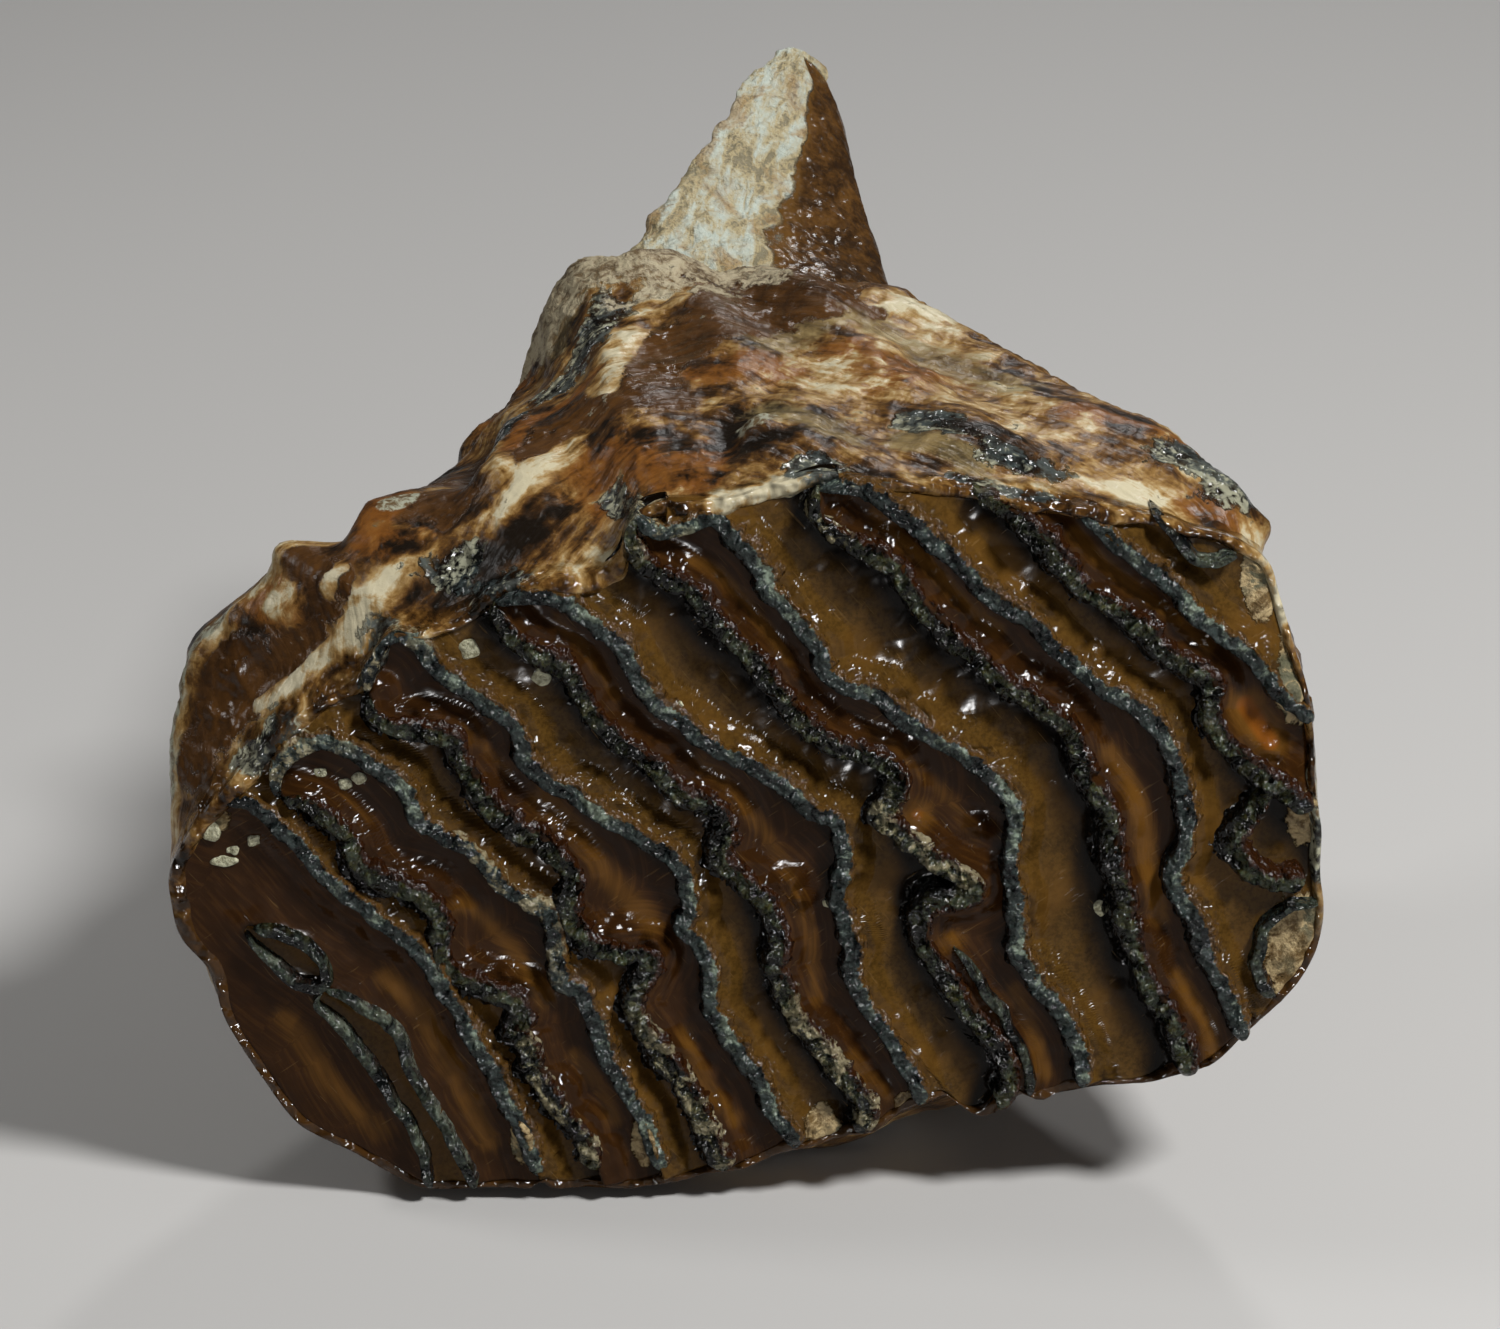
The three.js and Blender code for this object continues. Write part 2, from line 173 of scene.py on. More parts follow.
# Quads between rings of points, each ring closed on itself, and a fan over each end.
def ringFaces(rings, around):
    here = np.arange(rings * around).reshape(rings, around)
    there = np.roll(here, -1, axis=1)
    quads = np.stack([here[:-1], there[:-1], there[1:], here[1:]], axis=-1).reshape(-1, 4)
    startFan = np.column_stack([there[0], here[0], np.full(around, rings * around)])
    endFan = np.column_stack([here[-1], there[-1], np.full(around, rings * around + 1)])
    return [quads, np.vstack([startFan, endFan])]


# The same for the values at the points: the two fan centres take the mean of their end ring.
def withEnds(grid):
    flat = grid.reshape(-1, *grid.shape[2:])
    return np.concatenate([flat, grid[:1].mean(axis=1), grid[-1:].mean(axis=1)])


# One mesh from several skins of rings, each closed at both ends.
def skinMesh(name, skins):
    corners, faces, count = [], [], 0
    for skin in skins:
        faces.append([part + count for part in ringFaces(*skin.shape[:2])])
        corners.append(withEnds(skin))
        count += len(corners[-1])
    quads, fans = (np.vstack([part[k] for part in faces]) for k in range(2))
    return buildMesh(name, np.vstack(corners), [quads, fans])


# A finished piece: its mesh with one attribute for each named mark, riding on the tooth's body.
def finishPiece(name, mesh, marks, material):
    for mark, values in marks.items():
        kind, field = ("FLOAT_VECTOR", "vector") if values.ndim == 2 else ("FLOAT", "value")
        layer = mesh.attributes.new(mark, kind, "POINT")
        layer.data.foreach_set(field, values.ravel())
    mesh.materials.append(material)
    piece = bpy.data.objects.new(name, mesh)
    bpy.context.scene.collection.objects.link(piece)
    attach(piece, "root")
    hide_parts("molar")
    print("made", name, len(mesh.polygons))


# The edge of the wear face, x and z, going round from the left.
faceEdge = smoothLine([
    (-67.3, -26), (-67.4, -30), (-66.4, -34.8), (-63.2, -39.5), (-61.7, -46), (-57.8, -53.2), (-54, -59.3),
    (-50, -62.1), (-47.7, -63.3), (-43, -66.3), (-38.3, -68.4), (-30, -68.2), (-26.2, -68.2),
    (-24.8, -67.2), (-23.2, -68.2), (-16, -68.5), (-8, -67.4), (-1.2, -65.7), (5.3, -63.2), (9.8, -62.1),
    (14.4, -60.7), (17.8, -58.4), (21, -56.6), (23.5, -56), (25.2, -57.8), (27, -58.9), (28.8, -58.6),
    (30.5, -56.5), (32.3, -55.3), (34.5, -56.4), (37, -55.4), (41.6, -54.4),
    (47.4, -54.4), (52.5, -52.3), (56, -50.2), (59.4, -46.8), (62, -43.5), (64.4, -40.5),
    (66.2, -36.4), (66.8, -31.8), (66.2, -26.4), (66.1, -20.9), (65, -15.5), (64.5, -9),
    (63.4, -2.7), (61.6, 2.7), (59.8, 8), (58.3, 12.3), (54.5, 15.2), (50, 16.6), (46, 18.3),
    (37, 19.9), (27, 21), (22, 21.8), (14, 22.8), (8, 23.2), (4, 22.2), (-2, 20.6), (-10, 19.8),
    (-13.3, 17.8), (-15, 13.4), (-17.5, 11.5), (-24, 10.6), (-29, 9.3), (-32.5, 6), (-37, 4.4),
    (-40.5, 4.4), (-43.2, 0.8), (-46, -2.5), (-53, -7), (-57, -11.5), (-62, -17), (-65, -21.5),
], 0.5, closed=True)[:-1]
edgeBearings = np.arctan2(faceEdge[:, 1] - axisHeight, faceEdge[:, 0]) % twoPi
edgeOrder = np.argsort(edgeBearings)
edgeReach = np.hypot(faceEdge[:, 0], faceEdge[:, 1] - axisHeight)[edgeOrder]


# How far the edge of the wear face is from the axis at each bearing.
def edgeRadius(bearing):
    return np.interp(bearing % twoPi, edgeBearings[edgeOrder], edgeReach, period=twoPi)


# Centre lines of the enamel bands, x and z, each from its upper left end to its lower right end.
# Bands come in pairs that fold round one plate of dentine; the first bounds the oldest plate.
enamelPoints = [
    [(-62, -15.5), (-60, -16.5), (-56.8, -17.5), (-55.5, -19), (-54, -20.5), (-52.8, -22),
     (-50.5, -25), (-48.3, -27.8), (-45.5, -30.5), (-44, -31.3), (-42.8, -32.8), (-40.3, -34.5),
     (-39, -35.8), (-36.8, -39.5), (-35.8, -41.8), (-34.5, -44), (-33.7, -46.5), (-31.5, -50.5),
     (-30.3, -52.8), (-29.8, -54.5), (-28, -58.5), (-27, -59.8), (-26.5, -61.8), (-25, -67)],
    [(-54, -16.5), (-51, -17), (-48.8, -18.5), (-47.3, -20.3), (-46, -22.3), (-45.3, -24.5),
     (-44, -26), (-42.3, -27.3), (-39.8, -28.3), (-38, -29), (-36.8, -30.8), (-35.8, -32),
     (-36, -35.5), (-35.7, -37.3), (-34.8, -38.8), (-32.3, -40.5), (-28.3, -42.5), (-26.8, -43.5),
     (-26.6, -45), (-28, -46.7), (-26.5, -48), (-26, -50), (-24.5, -54), (-23, -55.5),
     (-22.5, -57.3), (-20, -60), (-19.5, -61.8), (-18.5, -64), (-17.8, -67)],
    [(-54, -16.5), (-54.5, -14.3), (-54, -12.5), (-52.5, -10.8), (-50.5, -9.5), (-48.5, -8.8),
     (-46.8, -9.8), (-44.8, -10.8), (-43.3, -12.3), (-41.5, -13.5), (-40.3, -14.5), (-39.8, -16),
     (-38.8, -18), (-38.3, -19.5), (-36.5, -20.5), (-35.3, -22), (-32.3, -23.5), (-31.3, -25),
     (-29, -27.8), (-27.8, -29), (-24.5, -31), (-23.5, -32.3), (-23, -36), (-22.5, -40.3),
     (-21, -41), (-19.8, -41.8), (-19.8, -43.3), (-18.5, -44.5), (-18.5, -46), (-17.5, -49.5),
     (-17, -51), (-15, -54.3), (-13.3, -57.5), (-12.3, -59.3), (-12, -61.3), (-10.5, -66.5)],
    [(-43.5, -3.5), (-42.8, -6), (-41, -7.3), (-38.5, -7.8), (-34.6, -8.6), (-33.3, -10.3),
     (-33.4, -11.8), (-32.3, -13.3), (-30.5, -16.8), (-29.3, -18), (-26.3, -20.8), (-24.8, -21.3),
     (-24, -22.8), (-22.5, -23.5), (-21.3, -25), (-20, -26.8), (-20.6, -29), (-20.9, -31),
     (-20.2, -33.3), (-19, -35), (-17.3, -36.1), (-15, -36.7), (-12.5, -36.6), (-11.4, -37.6),
     (-12, -39.2), (-13.7, -43), (-13.2, -45), (-12, -47), (-10, -50.6), (-8.8, -52), (-6.7, -55.9),
     (-5.6, -57.6), (-5.2, -59.5), (-3.6, -63.5), (-3, -66.5)],
    [(-43.5, -3.5), (-43.2, -1), (-43, 0.5), (-42.3, 2.6), (-40.8, 3.8), (-38.5, 3.4), (-37.3, 2.2),
     (-36.3, 0.6), (-34.5, -1.3), (-30.8, -4.3), (-29, -5.6), (-27.8, -6.6), (-26.8, -8),
     (-26, -10), (-26, -11.5), (-25, -12.8), (-23.5, -14), (-22.3, -15.5), (-19, -17),
     (-18.8, -18.3), (-17, -19.3), (-13.5, -21.3), (-10.5, -23.5), (-9, -24.8), (-7.5, -27.8),
     (-7.5, -29.5), (-7, -31), (-7.8, -32.5), (-7.7, -34), (-6.3, -35.3), (-4.8, -39.5),
     (-4.8, -43.5), (-4.3, -45.5), (-2.8, -47.3), (-0.5, -51), (1.5, -54.3), (2.5, -56),
     (2.2, -57.5), (4.5, -60.5), (5.4, -64)],
    [(-28.8, 8), (-28.3, 6), (-26.8, 4), (-25.3, 2.5), (-22, 0.8), (-20.5, -0.3), (-19.8, -1.8),
     (-17.8, -5.6), (-16.5, -7.5), (-13.5, -10.5), (-10.8, -12.8), (-9.5, -14.3), (-8.3, -16),
     (-6.5, -17), (-4.7, -17.6), (-3.4, -19.3), (-2.8, -21.5), (-3.3, -23.7), (-2.5, -25.8),
     (0.8, -28.8), (2, -30.6), (3, -33), (3.4, -36), (3, -39), (3.9, -41), (5.6, -45.4), (7, -47.2),
     (10.2, -51.7), (13.1, -55.9), (13.9, -57.8), (13.3, -60), (12.4, -63)],
    [(-28.8, 8), (-26, 8.3), (-23, 8.6), (-21.3, 8), (-19.5, 6.8), (-16.3, 4.3), (-14.8, 2.5),
     (-14, 0.5), (-12, -3.5), (-10.6, -5.2), (-8.3, -7), (-6.5, -8.5), (-5, -10), (-1.3, -12),
     (2.3, -14.3), (4, -15.8), (7.5, -18.8), (9.3, -19.8), (10.3, -21.3), (10.8, -24.8),
     (10, -28.3), (10, -30), (11.2, -33.7), (12, -37), (11.3, -38.8), (12, -40.5), (13.8, -44.3),
     (16.5, -48.5), (18.5, -52.5), (20, -56.3), (18.6, -60)],
    [(-12.8, 18.8), (-13.5, 17.3), (-12.5, 14.5), (-11.3, 12.5), (-7.8, 10.3), (-6, 8.8), (-4.8, 6.8),
     (-1.8, 3.5), (1.3, 0), (2.3, -1.8), (5.2, -5.8), (7.5, -8), (9.5, -9.6), (13.8, -11.3),
     (16, -12), (17, -13.8), (17.2, -16), (16, -18), (14.8, -18.8), (16, -20), (18, -21.4),
     (21.5, -24.7), (23.2, -26), (26.6, -27.8), (26, -29.2), (24, -29.8), (22, -30), (20.3, -31.3),
     (20.3, -35.2), (22.5, -39), (25.2, -43.3), (28.3, -47.5), (30, -49.8), (30.8, -52),
     (30.6, -54.5), (28.8, -59)],
    [(-12.8, 18.8), (-11, 16.6), (-9, 16.6), (-6.8, 17.5), (-5, 18.3), (-3.3, 18.2), (-2.3, 16.3),
     (0.8, 12.3), (2.3, 8.8), (3.8, 7.5), (6, 4.3), (7.5, 3), (8.3, 1.5), (8.3, -0.3), (11, -2.5),
     (14.5, -3.8), (16, -4.5), (16.3, -5.8), (19.3, -8), (23, -10.3), (26.5, -12.8), (29.2, -16.2),
     (30.3, -18.2), (30.5, -20.5), (29.7, -24.5), (30.5, -28.3), (31, -30.3), (30.8, -32),
     (31, -33.8), (30.6, -35.8), (33, -39.8), (35.5, -43.5), (37.5, -47), (39, -51), (39.9, -56)],
    [(7.6, 22), (7.5, 19), (8.8, 17.5), (10.5, 16), (14.5, 13.8), (16, 13), (18.3, 9.5), (20.8, 6),
     (22.3, 4.5), (22.5, 3.3), (26.5, 0.8), (27.9, -1), (29.7, -2.6), (32.3, -4), (35.5, -6.5),
     (37.5, -10), (38, -12.3), (38.8, -14.3), (41.5, -17.8), (42, -20), (42, -24), (43.5, -28),
     (44, -29.8), (43.6, -32), (45.2, -35.8), (45.5, -38), (47.8, -42.3), (49, -44), (51, -48),
     (51.5, -50), (51, -54)],
    [(7.6, 22), (10, 22), (12, 22), (14, 21.3), (17, 18.8), (20.3, 15.8), (23.3, 12.8), (26, 9.5),
     (27.5, 8), (31.8, 5.5), (34.5, 2.3), (37.8, -0.8), (41.3, -3.5), (44.8, -6), (46, -7),
     (47.3, -8.8), (48.5, -12.5), (49.8, -16.5), (50.3, -21), (49.3, -25), (48.5, -26.8),
     (50.5, -30.5), (51.8, -32.3), (52.8, -36), (54.5, -39.8), (57, -45), (58.6, -50)],
    [(25, 21.5), (28.5, 19.8), (32, 16.8), (34.5, 13.8), (35.8, 12), (37.5, 10), (41, 7.5),
     (45, 4.8), (46.5, 2.8), (48.3, 1.5), (52, -1.3), (52.8, -3.5), (52.5, -6), (55, -9.8),
     (56.5, -11.5), (60.3, -14.3), (61.8, -15.8), (65.5, -18)],
    [(36.5, 19), (39.8, 16.3), (43.5, 13.3), (47.3, 10), (48.8, 8.3), (51.8, 5), (56.8, 1.3),
     (58, -0.5), (59, -2.3), (62.3, -5), (65, -8.5)],
]
# Enamel that bounds no whole plate: the islands in the oldest plate, the inner fold of the fifth
# plate, the half plate and the chip at the right edge, and the step at the upper right.
loosePoints = [
    [(-59, -34), (-57.3, -36.2), (-55.5, -38.3), (-53.5, -39.7), (-51.5, -40.8), (-49.8, -40.6),
     (-49.5, -39.3), (-50.3, -37.5), (-51.6, -35.9), (-53.6, -34.6), (-56, -33.7), (-58.4, -33.2),
     (-59, -34)],
    [(-50, -41.3), (-51.2, -42.3), (-50.5, -43.8), (-49, -45.3), (-46.8, -48.5), (-44.8, -51.5),
     (-42.5, -55.8), (-40.3, -59), (-39.5, -61.3), (-39, -63), (-37.9, -68.5)],
    [(-50, -41.3), (-48, -42.3), (-46.5, -43.4), (-43.3, -45.3), (-42.3, -46.5), (-41, -48),
     (-41, -49.3), (-39.8, -53), (-38, -56.8), (-36.3, -59.5), (-35, -63), (-32.5, -68.5)],
    [(24, -36), (25.5, -38.5), (27.3, -41.3), (29.3, -44), (30.8, -46.8), (32.2, -50), (33, -53),
     (33.3, -57.5)],
    [(60.3, -14.3), (57.7, -18.5), (56.2, -21), (56.1, -23.2), (57.3, -25), (59.3, -26.2),
     (61.5, -27), (66, -26.8)],
    [(66, -30), (64, -30.2), (62.3, -30.5), (60.5, -32.3), (59.4, -34.3), (59.5, -36.3),
     (59, -38.3), (60, -40.3), (61.3, -41.8), (63, -43.2)],
    [(45, 18.8), (47, 16.5), (48, 15.3), (49.3, 13.8), (51.3, 13.3), (53.5, 13.5), (56, 14.8)],
]
bandLines = [smoothLine(points, 0.8) for points in enamelPoints]
looseLines = [smoothLine(points, 0.8) for points in loosePoints]
plateTail = np.array([6.6, -10.0])  # plates go on past the lower edge in this direction
beyondLeft = [(-20, -90), (-90, -90), (-90, -10), (-66, -10)]  # closes the oldest plate outside
# How dark each band is, from 0, pale blue-grey, to 1, near black; the loose ones follow.
bandTones = [0.25, 0.45, 0.2, 0.8, 0.15, 0.9, 0.2, 0.85, 0.1, 0.95, 0.2, 0.85, 0.15,
             0.4, 0.35, 0.45, 0.5, 0.95, 0.4, 0.6]

# Stretches of enamel stained cream: the band, then the shares of its length where the stain starts,
# is full, starts to fade and ends.
paleStretches = [(1, 0.6, 0.75, 0.97, 1.0), (2, 0.3, 0.4, 0.55, 0.7), (3, 0.66, 0.8, 0.98, 1.0),
                 (5, 0.7, 0.82, 0.98, 1.0), (7, 0.44, 0.5, 0.62, 0.66), (9, 0.0, 0.02, 0.06, 0.1),
                 (2, -0.1, 0.0, 0.1, 0.2), (4, -0.1, 0.0, 0.08, 0.16), (7, -0.1, 0.0, 0.04, 0.06),
                 (8, -0.1, 0.0, 0.05, 0.09)]

# The pale centre of each plate's dentine: half width, strength, and the line it follows.
streaks = [
    (1.7, 1.0, [(-42.8, -40.3), (-39.3, -43.8), (-37.5, -47.3), (-34.3, -54.3), (-31, -62)]),
    (2.0, 0.8, [(-54.5, -45.3), (-52, -49.3), (-50, -53.5), (-47, -57.3), (-44, -60.5)]),
    (1.2, 0.5, [(-46.3, -16.5), (-44, -19.5)]),
    (1.5, 0.8, [(-33.5, -30.5), (-31, -32), (-29, -35), (-26, -39.3), (-24, -43)]),
    (1.2, 0.8, [(-20.5, -50.5), (-17.5, -55), (-16, -59.3)]),
    (1.0, 0.6, [(-32.8, -7.8), (-30, -11), (-27.8, -13.5)]),
    (1.8, 0.8, [(-24, -17.3), (-19.5, -22), (-17, -26.3), (-15.3, -28.8), (-11.5, -33.3)]),
    (1.2, 0.7, [(-7.6, -47.5), (-6, -53), (-1.8, -59)]),
    (0.9, 0.7, [(-22, 5.5), (-19, 2.3), (-17, -1), (-15, -4)]),
    (1.3, 0.6, [(-6.5, -12.3), (-3, -15), (2.3, -22.5), (4.3, -26.5), (6.8, -34.5), (8, -43)]),
    (1.2, 0.7, [(12, -50.5), (16.5, -56)]),
    (0.9, 0.9, [(-6.5, 13), (-3.5, 11.3), (1.8, 4.5), (4.3, 0.5)]),
    (1.3, 0.5, [(14, -7.8), (22.3, -16.3), (26, -22.5)]),
    (1.2, 0.9, [(31, -42), (32.5, -44.8), (34, -48.5), (35, -53)]),
    (1.1, 0.9, [(14, 18.5), (19.3, 13.3), (24.8, 7), (28, 4.3)]),
    (1.4, 1.0, [(41.3, -11), (43.5, -14.3), (45.3, -20), (46.5, -26.5), (47.8, -32)]),
    (1.3, 1.0, [(50.5, -39.8), (52, -43), (54, -46), (54.8, -50)]),
    (1.0, 0.9, [(36.3, 16.5), (39.8, 12.5), (47.5, 6.3), (52, 2.3)]),
    (2.2, 1.4, [(56.5, -4.8), (59.5, -9.5)]),
]
# Round patches of brighter dentine, x, z, half size and strength.
brightSpots = [(19.3, -19, 2.2, 1.2), (23.6, -35.3, 1.8, 1.0), (-50, -24, 2.5, 0.4), (62.3, -21, 1.8, 0.5)]

# Patches where the cement of the face is pale and crumbles: x, z, half width and half height.
crumbling = [(64, -36.5, 3.6, 6.5), (64.2, -19.5, 2.2, 3.6), (62.4, 0, 2.4, 7), (57.6, 11, 2, 5.5),
             (-62.5, -19, 2.6, 2.2), (8.5, -60, 2.2, 2.4), (-12.5, -62, 1.5, 3.5), (-27, -62, 1.4, 3),
             (19, -57, 2, 1.6)]

# Where the wet surface is pearled most: x, z, half size and strength.
pools = [(-16, -34.2, 2.2, 1), (-11, -35.6, 1.4, 1), (4.4, -27.8, 1.8, 1), (5.8, -30.2, 1.2, 1),
         (16, -2.4, 1.6, 1), (5.7, -15.6, 2.4, 1), (9.6, -18, 2, 1), (20.6, -7.2, 2, 1), (25, -9.6, 2, 1),
         (29.4, -13.2, 2, 1), (60, -10, 1.6, 1), (61.6, -13.4, 1.4, 1), (-26.4, -41.2, 1.6, 1),
         (-29, -39.6, 1.2, 1), (-14, -10, 1.6, 1), (-37, -6.4, 1.4, 1), (26.4, -21, 1.4, 1),
         (44, -5, 1.4, 1)]

faceLook = {
    "crest": -2.0,         # how far the enamel crests stand out
    "dish": 1.4,           # how far the middle of the face is hollowed
    "dishReach": (70, 48), # how far the hollow reaches to the sides and up
    "waves": (0.22, 0.14), # broad and small waves over the whole face
    "brinkStart": 0.7,     # this far from a band's line the brink starts
    "brinkFall": 0.75,     # cement and dentine both roll off this far from the crest on their left
    "brinkWide": 1.3,
    "cementSlope": 0.235,  # cement then falls this share of its width by the next crest
    "slopeCurve": 1.35,    # and steepens on its way
    "widestFall": 15,      # no gap falls further than one of this width
    "dentineSlope": 0.8,   # and dentine falls this far
    "oldFall": 0.7,        # the oldest plate lies this deep beside its bands
    "oldHollow": (0.9, 2.5),  # and falls this much further, over this width
    "islandFall": 0.5,     # the cement of its islands lies lower still
    "underCrest": 0.25,    # the cement and dentine start this far below the crest
    "crumbleDepth": 1.2,
    "tuck": (1.2, 1.3),    # the edge dips this far, over this width, to lie under the lip
    "skirt": 5.0,          # the hidden back of the face lies this deep
    "skirtSize": 0.98,
    "cells": (372, 246),
}


# Distances from each point to all the bands and the places along them, and which cement gap it is
# nearest to: each gap lies between the bands 2k and 2k + 1.
def faceZones(x, z):
    near = [nearLine(x, z, line, 45) for line in bandLines]
    gaps = np.array([gap for gap, along in near] + [np.full(x.shape, 9.0)])
    alongs = np.array([along for gap, along in near])
    pairs = gaps.reshape(-1, 2, *x.shape)
    zone = np.argmin(pairs.sum(axis=1), axis=0)
    left, right = np.take_along_axis(pairs, zone[None, None], axis=0)[0]
    return gaps, alongs, zone, left / (left + right + 1e-6), left + right


# Where enamel crests stand at each x, z: the face is hollowed towards its middle, with low waves.
def crestLevel(x, z, look=faceLook):
    aside, up = look["dishReach"]
    dish = look["dish"] * np.maximum(1 - (x / aside) ** 2 - ((z - axisHeight) / up) ** 2, 0)
    place = np.stack([x, np.zeros(x.shape), z], axis=-1)
    broad, small = look["waves"]
    return look["crest"] + dish + broad * cloud(place, 9, 3, 2) + small * cloud(place, 2.6, 5, 2)


# The wear face at each x, z, a stair of plates. Cement rolls off the crest on its left and slopes
# down to a deep foot at the next; dentine rolls off its own left crest and falls less; the oldest
# plate is nearly flat round its islands of cement.
def wornFace(x, z, look=faceLook):
    gaps, alongs, zone, share, width = faceZones(x, z)

    def rollOff(gap):
        past = np.maximum(gap - look["brinkStart"], 0)
        return look["brinkFall"] * (1 - np.exp(-past / look["brinkWide"]))

    slope = look["cementSlope"] * np.minimum(width, look["widestFall"]) * share ** look["slopeCurve"]
    along = np.take_along_axis(alongs, 2 * zone[None], axis=0)[0]
    found = {"fall": rollOff(share * width) + slope, "dentine": np.zeros(x.shape), "across": share,
             "side": share * width, "along": along, "stretch": 2.0 * zone}

    def within(area, **values):
        for name, value in values.items():
            found[name] = np.where(area, value, found[name])

    for k in range(1, len(bandLines), 2):
        outline = np.vstack([bandLines[k], bandLines[k][-1:] + plateTail,
                             bandLines[k + 1][-1:] + plateTail, bandLines[k + 1][::-1]])
        part = gaps[k] / (gaps[k] + gaps[k + 1] + 1e-6)
        fall = rollOff(gaps[k]) + look["dentineSlope"] * smoothStep(0, 1, part)
        within(insideOutline(x, z, outline), fall=fall, dentine=1.0, across=part, side=gaps[k],
               along=alongs[k], stretch=k)
    islandGap = np.min([nearLine(x, z, line)[0] for line in looseLines[:3]], axis=0)
    island = insideOutline(x, z, looseLines[0]) | insideOutline(
        x, z, np.vstack([looseLines[1], looseLines[2][::-1]]))
    oldGap = np.minimum(gaps[0], islandGap)
    hollow, hollowWide = look["oldHollow"]
    fall = look["oldFall"] + hollow * (1 - np.exp(-oldGap / hollowWide)) + look["islandFall"] * island
    within(insideOutline(x, z, np.vstack([bandLines[0], beyondLeft])), fall=fall, dentine=1.0 - island,
           across=0.5 * (1 - np.exp(-oldGap / 4)), side=gaps[0], stretch=30)
    dentine = found["dentine"]
    return {
        "y": crestLevel(x, z) + look["underCrest"] + found["fall"],
        "dentine": dentine,
        "across": found["across"],
        # The foot mark places a painted shadow on the cement, deepest beside the next broad band's cliff.
        "foot": (1 - dentine) * smoothStep(0.4, 0.9, share) * smoothStep(4, 9, width),
        "brink": smoothStep(4.0, 2.2, np.where(dentine > 0.5, found["side"], share * width)),
        "grainPlace": np.stack([found["side"], found["along"] / 9, found["stretch"] * 7.3], axis=-1),
    }


# The strongest of several round spots at each x, z; a spot fades as a bell curve of the distance.
def spotGlow(x, z, spots):
    glow = np.zeros(x.shape)
    for spotX, spotZ, half, strength in spots:
        glow = np.maximum(glow, strength * np.exp(-((x - spotX) ** 2 + (z - spotZ) ** 2) / half ** 2))
    return glow


# How strongly the pale dentine centres show at each x, z: a bell curve of the gap to each streak.
def streakGlow(x, z):
    glow = np.zeros(x.shape)
    for half, strength, points in streaks:
        gap = nearLine(x, z, smoothLine(points, 1.5), 8)[0]
        glow = np.maximum(glow, strength * np.exp(-(gap / half) ** 2))
    return glow


# How much the cement or dentine crumbles at each x, z, with a soft oval round each patch.
def crumbledShare(x, z):
    share = np.zeros(x.shape)
    for spotX, spotZ, wide, tall in crumbling:
        gap = np.hypot((x - spotX) / wide, (z - spotZ) / tall)
        share = np.maximum(share, smoothStep(1.5, 0.6, gap))
    return share


# A square grid bent to a disc and stretched to the face's edge, then a skirt and a flat back inside
# the tooth. Over the last stretch the surface dips under the wall's lip.
def makeWearFace(material, look=faceLook):
    u, v = np.meshgrid(*[np.linspace(-1, 1, cells + 1) for cells in look["cells"]])
    discX, discZ = u * np.sqrt(1 - v * v / 2), v * np.sqrt(1 - u * u / 2)
    bearing = np.arctan2(discZ, discX)
    reach = np.hypot(discX, discZ) * edgeRadius(bearing)
    x, z = reach * np.cos(bearing), axisHeight + reach * np.sin(bearing)
    marks = wornFace(x, z)
    marks["glow"] = np.maximum(streakGlow(x, z), spotGlow(x, z, brightSpots))
    marks["crumbled"] = crumbledShare(x, z)
    marks["pool"] = spotGlow(x, z, pools)
    dip, dipWide = look["tuck"]
    y = marks.pop("y") + dip * smoothStep(dipWide, 0.0, edgeRadius(bearing) - reach)
    crumbs = cloud(np.stack([x, 0 * x, z], axis=-1), 2.5, 7, 4, 0.65)
    y -= look["crumbleDepth"] * marks["crumbled"] * (crumbs + 0.3)
    index = np.arange(x.size).reshape(x.shape)
    quads = np.stack([index[:-1, :-1], index[:-1, 1:], index[1:, 1:], index[1:, :-1]], axis=-1)
    rim = np.concatenate([index[0, :-1], index[:-1, -1], index[-1, :0:-1], index[:0:-1, 0]])
    corners = np.stack([x, y, z], axis=-1).reshape(-1, 3)
    skirt = corners[rim] * look["skirtSize"] + np.array([0, 0, (1 - look["skirtSize"]) * axisHeight])
    skirt[:, 1] = look["skirt"]
    below = len(corners) + np.arange(len(rim))
    wall = np.column_stack([np.roll(rim, -1), rim, below, np.roll(below, -1)])
    fan = np.column_stack([np.roll(below, -1), below, np.full(len(rim), len(corners) + len(rim))])
    everything = np.vstack([corners, skirt, [[0, look["skirt"] + 1, axisHeight]]])
    mesh = buildMesh("wear_face", everything, [np.vstack([quads.reshape(-1, 4), wall]), fan])
    source = np.concatenate([index.ravel(), rim, rim[:1]])
    marks = {mark: values.reshape(-1, *values.shape[2:])[source] for mark, values in marks.items()}
    finishPiece("wear_face", mesh, marks, material)


